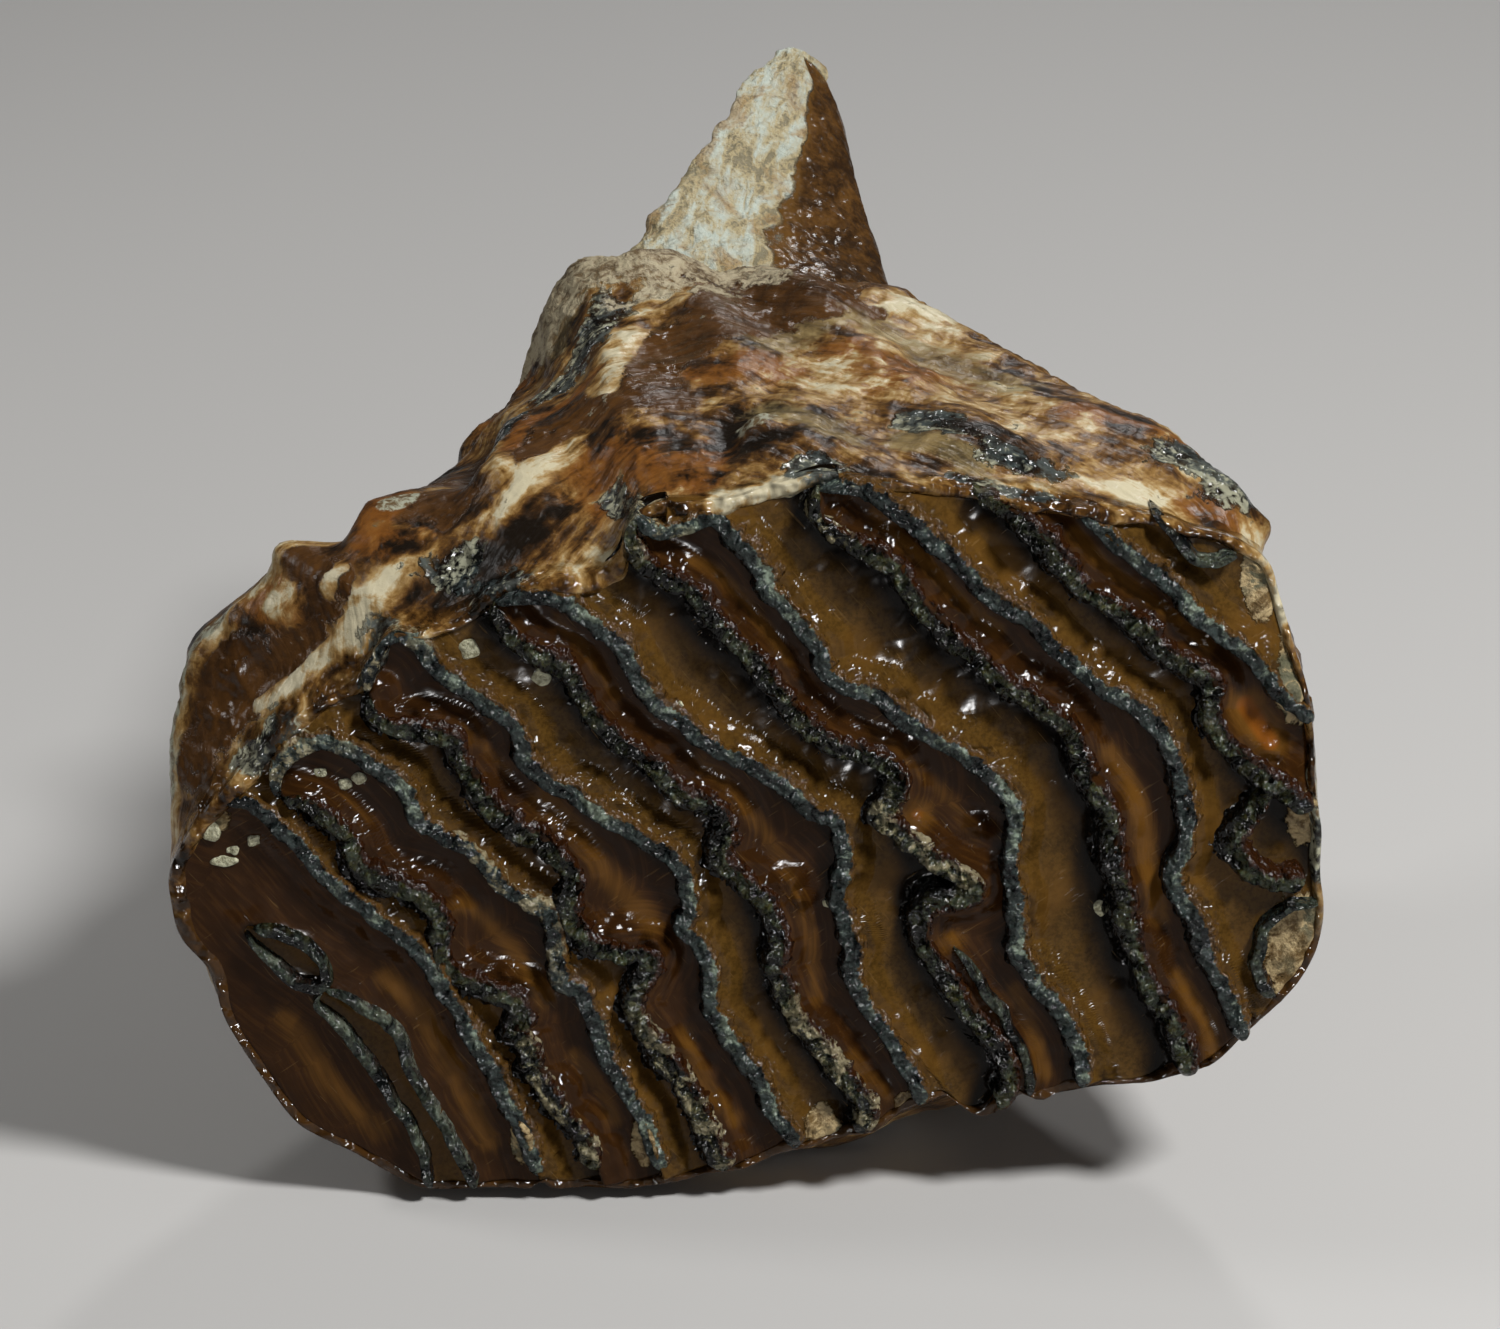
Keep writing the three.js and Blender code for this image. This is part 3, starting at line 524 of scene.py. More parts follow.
# The enamel bands, of three kinds. Crisp ones have a crest worn flat, a steep side on the left and a
# fillet on the right; broad ones have a craggy crest over a cliff on the left; loose ones are thin.
enamelLook = {
    "step": 0.27,
    "profilePoints": 19,
    # side widths in mm, shares of each side where the crest ends and where the foot is reached
    "crisp": {"widths": (1.5, 2.1), "crest": (0.5, 0.6), "foot": (0.95, 0.94), "rough": 0.35,
              "crags": 0.35, "scallop": 0.48, "shade": 0.0},
    "broad": {"widths": (3.4, 2.0), "crest": (0.34, 0.5), "foot": (0.66, 0.94), "rough": 0.6,
              "crags": 0.9, "scallop": 0.45, "shade": 1.0},
    "loose": {"widths": (1.15, 1.15), "crest": (0.4, 0.4), "foot": (0.9, 0.9), "rough": 0.25,
              "crags": 0.2, "scallop": 0.25, "shade": 0.5},
    "wander": 0.4,      # how far a band strays from its line
    "startShare": 0.35, # a band starts with this share of its width
    "startLength": 6,   # and has all of it this far on
    "footDepth": 0.45,  # how far the feet go under the surface beside them
    "ribs": 0.42,       # ribs that run down the sides
    "overWall": 0.3,    # how far the sides may reach past the edge of the face
}


# One band: a ridge carried along its line. Its height goes from the crest to the feet in a soft
# shoulder; waves along it make its scallops and ribs, and noise its crags.
def ridgeSkin(line, kind, seed, look=enamelLook):
    left, right = kind["widths"]
    middle = smoothLine(line[::3], look["step"])
    bearing = np.arctan2(middle[:, 1] - axisHeight, middle[:, 0])
    beyond = np.hypot(middle[:, 0], middle[:, 1] - axisHeight) - edgeRadius(bearing)
    middle = middle[beyond < np.where(middle[:, 1] < -5, -0.3, 0.9)]
    run = np.gradient(middle, axis=0)
    run /= np.hypot(*run.T)[:, None]
    across = np.column_stack([-run[:, 1], run[:, 0]])
    stations = (np.arange(len(middle)) * look["step"])[:, None]

    def wave(size, offset):
        return cloud(np.stack([stations, stations * 0, stations * 0 + offset], axis=-1), size, seed)

    middle = middle + across * (look["wander"] * wave(2.6, 5))
    side = np.linspace(-1, 1, look["profilePoints"])[None, :]
    onLeft = side < 0
    fromEnd = np.minimum(stations, stations[::-1])
    whole = smoothStep(0, 4, fromEnd)
    taper = np.sqrt(smoothStep(-0.3, 1.5, fromEnd))
    started = look["startShare"] + (1 - look["startShare"]) * smoothStep(0, look["startLength"], stations)
    wide = np.where(onLeft, left, right) * ((1 + 0.3 * wave(5, 30)) * started)
    flute = np.where(onLeft, wave(1.6, 17), wave(1.4, 40))
    tooth = whole * np.where(onLeft, wave(0.8, 60), wave(0.75, 80))
    offset = side * wide * taper * (1 + kind["scallop"] * (flute + tooth) * np.abs(side))
    x = middle[:, :1] + across[:, :1] * offset
    z = middle[:, 1:] + across[:, 1:] * offset
    # The sides stop where the wall begins.
    reach = np.hypot(x, z - axisHeight)
    kept = np.minimum(reach, edgeRadius(np.arctan2(z - axisHeight, x)) + look["overWall"]) / reach
    x, z = x * kept, axisHeight + (z - axisHeight) * kept
    feet = [wornFace(*(middle + across * shift).T)["y"][:, None] for shift in (-left * 1.05, right * 1.05)]
    foot = np.where(onLeft, *feet) + look["footDepth"]
    crest = crestLevel(x, z) + 0.12 * wave(3.0, 90)
    shoulder = smoothStep(*[np.where(onLeft, *kind[edge]) for edge in ("crest", "foot")], np.abs(side))
    y = crest * (1 - shoulder) + foot * shoulder + (1 - taper) * 1.0
    ribs = (flute * 0.5 + tooth) * 4 * shoulder * (1 - shoulder)
    place = np.stack([x, y, z], axis=-1)
    crags = 0.5 - 2.2 * np.abs(cloud(place, 2.0, seed + 7, 3, 0.65))
    fade = smoothStep(1.0, 0.75, np.abs(side)) * (0.3 + 0.7 * whole)
    y = y + (kind["rough"] * cloud(place, 1.0, seed + 3, 3, 0.7) + look["ribs"] * ribs) * fade
    y = y - kind["crags"] * crags * (1 - 0.8 * shoulder) * fade
    top = np.stack([x, y, z], axis=-1)
    under = top[:, [-1, 0]] + np.array([0, 2.5, 0])
    under += 0.2 * (top[:, [0, -1]] - top[:, [-1, 0]])
    ribPlace = np.stack(np.broadcast_arrays(stations, side * wide, seed * 3.1), axis=-1)
    ribPlace = np.concatenate([ribPlace, ribPlace[:, [-1, 0]]], axis=1)
    skin = np.concatenate([top, under], axis=1)
    return skin, ribPlace, np.broadcast_to(stations / stations[-1], skin.shape[:2])


# All the bands as one mesh, every second one after the first broad. Marks give each point's place
# on its band, how dark the band is, where it is stained and how broad its kind is.
def makeEnamel(material, look=enamelLook):
    skins, marks = [], {mark: [] for mark in ("ribPlace", "tone", "stain", "broad")}
    kinds = ["crisp"] + ["broad", "crisp"] * (len(bandLines) // 2)
    kinds += ["loose"] * 4 + ["broad"] + ["loose"] * 2
    for number, (line, kind) in enumerate(zip(bandLines + looseLines, kinds)):
        skin, ribPlace, share = ridgeSkin(line, look[kind], 100 + 10 * number)
        skins.append(skin)
        stain = np.zeros(share.shape)
        for band, starts, full, fades, ends in paleStretches:
            if band == number:
                stain += smoothStep(starts, full, share) * smoothStep(ends, fades, share)
        marks["ribPlace"].append(withEnds(ribPlace))
        marks["tone"].append(withEnds(bandTones[number] + 0.5 * smoothStep(0.1, 0.0, share)))
        marks["stain"].append(withEnds(stain))
        marks["broad"].append(withEnds(np.full(share.shape, look[kind]["shade"])))
    marks = {mark: np.concatenate(values) for mark, values in marks.items()}
    finishPiece("enamel_bands", skinMesh("enamel_bands", skins), marks, material)


# How far the walls stand from the axis: rows that start with their depth behind the wear face, then
# sixteen bearings from +X towards +Z.
wallRows = np.array([
    [0, 66.5, 67.6, 60, 49.8, 43.5, 38, 42, 51.5, 66, 65.7, 60.5, 47.5, 41.5, 39.6, 47, 63],
    [8, 65.5, 66, 60.5, 51, 46.5, 43, 49, 63, 67.5, 66, 60, 49.5, 45.5, 44, 49, 62.5],
    [18, 63, 65.5, 61.5, 51.5, 47.5, 47, 53, 62.5, 64, 63, 58, 50.5, 47.5, 48, 50, 60],
    [30, 58, 62.5, 60.5, 51.5, 48, 48.5, 50, 55, 58, 57, 54, 50.5, 48, 50, 49, 55],
    [42, 50, 54, 57.5, 51.5, 48.5, 49.5, 47.5, 50, 51, 50, 48, 48.5, 47.5, 49, 46, 48],
    [54, 40, 43, 50, 51.5, 49, 51, 46.5, 44, 42, 42, 42, 44, 43.5, 44, 41, 40],
    [64, 29, 32, 38, 48, 49.5, 52, 41, 34, 32, 32, 35, 36, 36, 35, 33, 31],
    [72, 20, 21, 26, 36, 46, 47, 31, 25, 23, 23, 26, 27, 27, 26, 24, 22],
])
# Hollows in the walls: bearing, depth, size round the wall, size along it, how deep. Lumps are
# negative.
dents = [
    (161, 6, 10, 4, 5), (148.6, 15, 3, 5, -4.6), (161, 17, 5, 6, -3), (152, 30, 8, 4.5, 3.5),
    (139, 48, 6, 4, 2.5), (132, 45, 4, 4, -2), (88, 27, 4, 5, 1.6), (62, 9, 14, 4, -1),
    (112, 64, 12, 5, -1.8), (205, 34, 16, 12, 2.5), (330, 40, 14, 14, 2), (40, 16, 8, 9, -3.6),
    (36, 9, 5, 4, -3.4), (168, 11, 8, 6, -1.8), (89, 14, 2.4, 3, -0.6), (89, 19, 3.5, 2.5, 0.9),
    (93, 14, 2, 5, 0.8), (146, 21, 2.6, 9, 3.6), (131, 27, 3, 8, 3), (140, 19, 2.4, 5, -0.8),
    (124, 52, 3.4, 9, 2.8), (118.5, 62, 3, 5, -1.5), (106, 60, 5, 4, -1.8), (163, 13, 3.5, 6, -1.6),
    (46, 24, 7, 8, -1.3), (32, 9, 2, 3.5, -2),
]
# Marks on the walls, each kind with its paths: half width, and the bearings and depths it goes through.
wallMarks = {
    "smooth": [
        (5.4, [(105, 27), (100, 41), (93, 49), (86, 55), (80, 54)]),
        (3.8, [(107, 25), (112, 25.5), (116, 25.7), (122, 20)]),
        (2.6, [(153, 7.6), (160, 7.6), (166, 6.8), (172, 4.6)]),
        (2.8, [(142, 13.5), (146, 10.5), (150, 8)]), (3, [(130, 17.5), (135, 14.6), (139, 11)]),
        (3, [(133, 27), (130, 34)]), (9, [(230, 20), (236, 40)]), (10, [(320, 16), (335, 34)]),
        (8, [(275, 50), (290, 58)]), (7, [(190, 40), (196, 52)]), (6, [(14, 30), (6, 44)]),
    ],
    "black": [
        (2.2, [(110, 53), (113, 45), (117, 43.5), (121, 41.5)]), (1.2, [(123, 38), (125, 33), (126, 27)]),
        (1.9, [(69.5, 16.5), (66, 13.5), (62, 9), (58, 6.3), (53, 5.5)]),
        (2.2, [(42, 13.8), (39, 13), (36, 13), (37, 9)]),
        (2.2, [(81.5, 3.6), (79, 1.2), (76.5, -0.6), (74, -0.4)]),
        (1.4, [(110.5, 8.4), (108.5, 5), (107.5, 3)]), (1.8, [(136.5, 5.6), (134, 6.8)]),
        (2, [(131.5, 0.4), (128, 1.6)]), (1.5, [(146, 1.5), (150, -0.3), (153, -1.2)]),
        (1.4, [(163, 0.6), (166, 0.2), (168, 0.4)]), (0.9, [(64, 2.4), (59, 0.8), (56, 0.1), (52, 0.1)]),
        (2.2, [(352, 18), (346, 28), (342, 38)]), (2, [(215, 12), (219, 30), (222, 44)]),
        (1.6, [(250, 8), (252, 26)]), (1.2, [(3, 0.6), (-2, 0.8)]),
    ],
    "pale": [
        (1.5, [(101, 52.5), (106, 48), (109, 37), (110, 29)]),
        (1.9, [(118, 55), (112, 55), (108, 58.5), (105, 58), (103, 53)]),
        (1.1, [(115, 20), (120, 16.6), (123, 13.4), (127, 10.2), (132, 9.7), (135, 8), (138.5, 6.9)]),
        (0.9, [(120.5, 14), (121.5, 13.4)]),
        (0.9, [(147, 15.8), (149.5, 14.6), (152.2, 13.4), (156.8, 12.2), (162.9, 11.4), (167, 10)]),
        (0.8, [(167, 10), (170, 8.6), (174, 7), (178, 4.4), (181, 1.6)]),
        (0.6, [(137.3, 7), (143.1, 5.7), (147, 4.4), (151.8, 3.4), (157.7, 3.4), (163, 4.2)]),
        (1.8, [(127, 18.6), (126, 17.4)]), (0.9, [(153.5, 8.6), (151.5, 8.9)]),
        (1.5, [(72, 54.6), (68.4, 53.8), (65, 52.5)]), (1.4, [(94, 0.5), (87, 0.3), (83, 0.2)]),
        (1.5, [(57.5, 1.5), (53, 3), (47, 4.6), (44, 4.4), (45.5, 1.4)]), (1.2, [(119, 2.0), (114, 1.6)]),
        (1, [(105, 3.3), (103.5, 2.8)]), (1.3, [(33, 1), (29, 0.6), (25, 0.8)]),
        (1.1, [(-6, 0.6), (-11, 0.6)]), (1.2, [(40, 10.5), (37, 11.5)]),
        (0.7, [(138.5, 12.2), (136.5, 11)]), (0.4, [(145.5, 8.4), (148.5, 7)]),
    ],
    "cream": [
        (1.2, [(137.3, 7), (143.1, 6.1), (147, 4.6), (151.8, 3.6), (157.7, 3.6)]),
        (2.6, [(83, 33.5), (80.5, 28), (79, 24.5)]), (3, [(67, 24), (62, 22.5), (58, 20), (53, 16.5)]),
        (3.2, [(68, 47), (63, 40), (58, 33), (54, 26)]), (2.5, [(50, 29.4), (44.4, 22.6), (40.6, 18)]),
        (2.4, [(51, 6), (47, 5), (43, 5.5)]), (2.4, [(126, 2.4), (119, 2.2), (112, 1.8)]),
        (2.6, [(152, 15.4), (150, 17)]), (1.7, [(144, 5.6), (150, 3.0), (155, 2.2)]),
        (1.7, [(126.5, 23), (123, 27), (124, 16)]), (2, [(100, 7.5), (94, 4), (86, 2.4)]),
        (2.4, [(34, 4), (27, 2.6)]), (2.4, [(75.7, 28), (75.3, 30)]),
        (6, [(180, 14), (186, 24), (190, 30)]), (7, [(300, 30), (310, 44)]), (8, [(262, 14), (268, 36)]),
    ],
    "rust": [
        (2, [(16, 3), (6, 3)]), (3.6, [(75, 37), (72, 27), (68, 32), (62, 33)]),
        (2.8, [(95, 32), (89, 35), (85, 32)]), (2.4, [(50, 20.4), (47, 18.2), (43, 18)]),
        (2.2, [(154.5, 11.4), (153.5, 9.7)]), (2.8, [(141.5, 20), (141.2, 14.4), (140.5, 12)]),
        (4.6, [(113, 13), (105, 9), (98, 7.5)]),
        (1.3, [(109.5, 37), (113, 35.5), (117, 33.5), (122, 30), (124, 22)]),
        (1.4, [(113, 61.5), (114.5, 57)]), (1.6, [(39.5, 6), (36, 5.4)]), (3.4, [(132, 52), (128, 56)]),
        (8, [(345, 50), (335, 56)]), (9, [(212, 50), (240, 56)]),
    ],
    "dark": [
        (1.4, [(19, 1), (13, 1.4)]),
        (1.7, [(86, 19), (90, 19.6), (92.6, 17), (92.8, 12), (90, 9.6), (87, 10)]),
        (1.3, [(57, 37), (53, 30), (50, 24.5), (45, 20), (40, 18), (36, 14.5)]),
        (1.5, [(105.5, 16.5), (101, 14.7)]), (1.2, [(97, 4.8), (94, 5)]),
        (2.8, [(130, 16.5), (135, 13.6), (139, 9.6)]), (1.8, [(120.5, 32.5), (122, 19.7)]),
        (1.3, [(114, 54.7), (118, 51.9)]), (1.4, [(70, 35), (66, 35), (61, 34)]),
        (3, [(120, 8), (128, 6), (138, 4.5)]),
    ],
    "dull": [
        (3.2, [(88, 38.6), (83, 44.5), (77, 46.9), (72, 46)]), (2.4, [(68, 42), (62, 37), (57, 31)]),
        (3, [(86, 18), (82, 14.5), (77, 11)]), (2.2, [(70, 11.5), (66, 8), (62, 5)]),
        (3.6, [(119, 57), (115, 60), (110, 61)]), (4, [(36, 26), (30, 14), (22, 9)]),
        (6, [(205, 10), (212, 20)]),
    ],
    "chip": [
        (0.8, [(158, 13), (164, 12.4), (170, 9.8), (176, 6.4)]), (1.5, [(89.4, 15.2), (88.8, 13.4)]),
        (1.2, [(28, 3), (24, 3.4)]), (1, [(9, 0.8), (6, 0.6)]), (0.7, [(138.5, 16.4), (137, 17.6)]),
        (1.2, [(129, 25), (127.5, 24)]),
    ],
    "grain": [
        (5.5, [(122, 62), (114, 65), (105, 62.5), (97, 62), (88, 67), (80, 73)]),
        (9, [(60, 72), (20, 74), (340, 74)]), (9, [(180, 74), (220, 74), (250, 74)]),
    ],
}

wallLook = {
    "columns": 712,
    "crowding": 0.32,       # columns stand closer together round this bearing
    "crowdBearing": 100,
    "wallSteps": 96,
    "closeSteps": 13,       # so many of the wall's steps lie close together beside the rim
    "backSteps": 22,
    "dome": 3.4,            # how far the broken back bulges
    "innerDepth": 4.8,      # the skin closes this deep inside the tooth
    "narrowing": 0.45,      # the ribs draw together by this share on their way back
    "ribAcross": (0.82, 0.57),  # and follow each other in this direction, to the right and up
    "ribHeight": 0.8,
    "ribSpacing": 17.0,
    "lump": 0.8,
    "ridgeBearing": 100,
    "strandSlope": 0.85,
    "fibre": 0.24,
    "bumps": 0.36,
    "grit": (0.75, 0.9),    # small and broad grit where the wall is broken
    "stepOfCement": 0.55,   # smooth cement stands this much proud of the fibres
    "markRadius": 50,       # the marks are drawn on the wall unrolled at this radius
    "raggedMarks": 1.3,
}
# The lip where the wall turns over the face's edge: share of the lip's width in from the edge, and
# share of its height that it stands out; then how wide and how high the lip is at each bearing.
lipProfile = [(1.2, -0.9), (0.97, -0.1), (0.86, 0.5), (0.7, 0.85), (0.52, 1.0),
              (0.35, 0.97), (0.2, 0.8), (0.08, 0.5), (0.01, 0.1), (0.0, -0.5)]
lipWidths = [(0, 0.8), (30, 1.0), (45, 2.0), (60, 1.2), (72, 1.0), (88, 2.0), (98, 1.5), (108, 1.2),
             (117, 3.2), (124, 1.4), (140, 1.3), (150, 1.6), (165, 2.2), (180, 2.4), (200, 1.2),
             (230, 0.9), (270, 0.8), (320, 1.0)]
lipHeights = [(0, 0.45), (46, 0.5), (58, 0.2), (102, 0.16), (112, 0.5), (180, 0.55), (200, 0.45)]


# A value given at some bearings, in degrees, read off at other bearings.
def aroundRim(bearing, stations):
    turns, values = np.array(stations).T
    return np.interp(bearing % twoPi, np.radians(turns), values, period=twoPi)


# Distance from the axis to the wall: smooth from bearing to bearing and from row to row.
def wallRadius(bearing, depth):
    slot = bearing % twoPi / twoPi * 16
    first = np.floor(slot).astype(int)
    weights = fourWeights(slot - first)
    byRow = sum(weights[k] * wallRows[:, 1 + (first + k - 1) % 16] for k in range(4))
    return blendRows(byRow, wallRows[:, 0], depth)


# How strongly each kind of mark shows: it fades with the gap to its path, and noise breaks its edge.
def wallMarkShares(bearing, depth, place, look=wallLook):
    ragged = look["raggedMarks"] * cloud(place, 4, 21, 4, 0.65)
    radius = look["markRadius"]
    shares = {}
    for kind, paths in wallMarks.items():
        shares[kind] = np.zeros(bearing.shape)
        for half, path in paths:
            turns, depths = np.array(path, float).T
            turns = np.unwrap(np.radians(turns))
            line = np.column_stack([turns * radius, depths])
            line = smoothLine(line, 2) if len(line) > 2 else line
            unrolled = turns.mean() + (bearing - turns.mean() + math.pi) % twoPi - math.pi
            gap = nearLine(unrolled * radius, depth, line, 2 * half + 4)[0]
            shares[kind] = np.maximum(shares[kind], np.clip(1.4 - 0.7 * (gap / half + ragged), 0, 1))
    return shares


# The rings of the lip, from inside the tooth out over the edge of the wear face: how far each is
# from the axis and how deep. They follow the worn surface, smoothed along the rim.
def lipRings(bearing, lower, look=wallLook):
    edge = edgeRadius(bearing)
    rim = np.column_stack([edge * np.cos(bearing), 0 * edge, axisHeight + edge * np.sin(bearing)])
    wide = aroundRim(bearing, lipWidths) * (1 + 0.5 * cloud(rim, 3.5, 31, 3))
    high = aroundRim(bearing, lipHeights) * (1 + 0.75 * cloud(rim, 4, 33, 2))
    high = (high + 0.1 * wide) * (1 - 0.75 * lower)
    reach, depth = [edge - 1.6 * wide], [np.full(edge.shape, look["innerDepth"])]
    for inward, lift in lipProfile:
        here = edge - inward * wide
        level = wornFace(here * np.cos(bearing), axisHeight + here * np.sin(bearing))["y"]
        level = sum(np.roll(level, k) for k in range(-4, 5)) / 9
        reach.append(here)
        depth.append(np.minimum(level, 0.4) - lift * high)
    return np.array(reach), np.array(depth)


# All the rings of the skin: the lip, the walls, and a back that closes in to the axis. Each ring has
# its distance from the axis, how deep it is, and its depth along the wall, which places the marks.
def skinRings(bearing, lower, look=wallLook):
    lipReach, lipDepth = lipRings(bearing, lower)
    close = look["closeSteps"]
    steps = np.concatenate([np.linspace(0.5, 6, close),
                            np.linspace(6.6, wallEnd, look["wallSteps"] - close)])
    walls = wallRadius(bearing, steps)
    steps = np.broadcast_to(steps[:, None], walls.shape)
    walls = walls + np.exp(-steps / 6) * (edgeRadius(bearing) - wallRadius(bearing, np.zeros(1)))
    deeps = steps + lipDepth[-1] * np.exp(-steps / 3)
    outer = np.linspace(1, 0, look["backSteps"] + 1)[1:-1, None]
    back = outer * wallRadius(bearing, np.array([wallEnd]))
    outer = np.broadcast_to(outer, back.shape)
    bulge = look["dome"] * np.sin(np.clip((1 - outer) * 2.4, 0, math.pi)) ** 0.7
    dome = wallEnd + bulge - 1.5 * (1 - outer)
    return (np.vstack([lipReach, walls, back]), np.vstack([lipDepth, deeps, dome]),
            np.vstack([lipDepth, steps, wallEnd + 12 * (1 - outer)]))


# How far the skin is raised: ribs along the plates, lumps, fibres along the grain, smooth cement
# that stands proud, broken grit, and bell-shaped dents. All of it fades out at the rim and the axis.
def wallRelief(place, turned, reach, wallDepth, grainPlace, shares, look=wallLook):
    taper = 1 - look["narrowing"] * np.clip(wallDepth, 0, wallEnd) / wallEnd
    aside, up = look["ribAcross"]
    across = (aside * place[..., 0] + up * (place[..., 2] - axisHeight)) / taper
    ribs = look["ribHeight"] * np.cos(twoPi * across / look["ribSpacing"]) * smoothStep(2, 12, wallDepth)
    rough = look["fibre"] * (cloud(grainPlace, 2.2, 41, 3, 0.6) + 0.8 * cloud(grainPlace, 0.9, 43, 2))
    lumps = look["lump"] * (cloud(place, 14, 45, 2) + 0.55 * cloud(place, 4.5, 47, 3, 0.6))
    small, broad = look["grit"]
    grit = small * np.abs(cloud(place, 2.2, 49, 4, 0.6)) + broad * cloud(place, 5, 51, 2)
    bumps = look["bumps"] * cloud(place, 2.6, 55, 3, 0.6) * smoothStep(0, 3, wallDepth)
    raised = ribs + lumps + (rough + bumps) * (1 - 0.85 * shares["smooth"]) - grit * shares["grain"]
    raised += look["stepOfCement"] * (shares["smooth"] + 0.7 * shares["pale"] - 0.8 * shares["dark"]
                                      - 0.5 * shares["black"])
    for angle, far, wide, long, deep in dents:
        turnedBy = (turned - math.radians(angle) + math.pi) % twoPi - math.pi
        raised -= deep * np.exp(-(turnedBy * reach / wide) ** 2 - ((wallDepth - far) / long) ** 2)
    raised *= smoothStep(-0.5, 7, wallDepth) * 0.85 + 0.15
    return raised * np.clip(reach / 14, 0, 1)


# The walls and the root base as one skin of rings, raised along the bearing's outward direction, and
# chipped where its back is broken. It is flat where it touches the ground.
def makeWalls(material, look=wallLook):
    turn = np.arange(look["columns"]) / look["columns"] * twoPi
    bearing = turn - look["crowding"] * np.sin(turn - math.radians(look["crowdBearing"]))
    lower = smoothStep(0.1, -0.35, np.sin(bearing))
    reach, depth, wallDepth = skinRings(bearing, lower)
    turned = np.broadcast_to(bearing, reach.shape)
    outward = np.stack([np.cos(turned), 0 * reach, np.sin(turned)], axis=-1)
    place = reach[..., None] * outward
    place += np.stack([0 * reach, depth, np.full(reach.shape, axisHeight)], axis=-1)
    shares = wallMarkShares(turned, wallDepth, place)
    # Strands run down both flanks of the roof from its ridge, and on round the tooth.
    fromRidge = 100 * np.sin((turned - math.radians(look["ridgeBearing"])) / 2)
    strand = wallDepth + look["strandSlope"] * np.sqrt(fromRidge ** 2 + 60) + 3 * cloud(place, 15, 37, 2)
    radius = look["markRadius"]
    grainPlace = np.stack([radius * np.cos(turned) / 7, radius * np.sin(turned) / 7, strand], axis=-1)
    raised = wallRelief(place, turned, reach, wallDepth, grainPlace, shares)
    place = place + raised[..., None] * outward
    chips = shares["grain"] * smoothStep(70, 74, wallDepth)
    place[..., 1] += chips * (1.6 * cloud(place, 7, 53, 4, 0.6) - 0.5)
    place[..., 2] = np.maximum(place[..., 2], groundHeight)
    marks = {**shares, "lower": np.broadcast_to(lower, reach.shape),
             "rim": smoothStep(3.5, 0.5, wallDepth), "grainPlace": grainPlace}
    marks = {mark: withEnds(values) for mark, values in marks.items()}
    finishPiece("crown_walls", skinMesh("crown_walls", [place]), marks, material)


# Slices through the standing root: how far behind the face, then four corners of the slice as x, z:
# left flank, crest, right flank, underside.
rootSlices = [
    (58, [(-15, 8), (0, 16), (16, 8), (4, -22)]),
    (66, [(-17, 17), (0, 21.5), (18, 14), (4, -19)]),
    (74, [(-15, 23), (0, 25), (19, 16), (5, -16)]),
    (80, [(-12.6, 27), (1, 26), (17.6, 17), (5, -4)]),
    (88, [(-7.6, 30.8), (3.4, 29), (16.0, 20.5), (6, 6)]),
    (97, [(-3.2, 34.8), (6.2, 33), (13.8, 26.4), (6.4, 16)]),
    (105, [(0.6, 37.6), (7.2, 37), (12.2, 31.5), (6.6, 25)]),
    (111, [(3.4, 39.2), (6.6, 39.6), (9.8, 36.6), (6.5, 33)]),
]
rootLook = {
    "around": 220,
    "along": 150,
    "roundness": 0.5,             # of the slices, from straight sides at 0 to curves at 1
    "tipSizes": (0.86, 0.66, 0.42, 0.2),
    "tipSteps": (0.7, 0.9, 0.7, 0.6),
    "flankEnds": ((1.25, 0.95), (3.55, 3.8)),  # where the broken flank ends and starts, in corners
    "tipStart": 108,              # past here the root is broken all round
    "grit": (1.1, 0.5),           # broad and small grit of the broken flank
    "ledges": 0.35,
    "skin": (0.5, 0.18),          # broad and small waves of the old surface
    "tipGrit": 0.8,
}


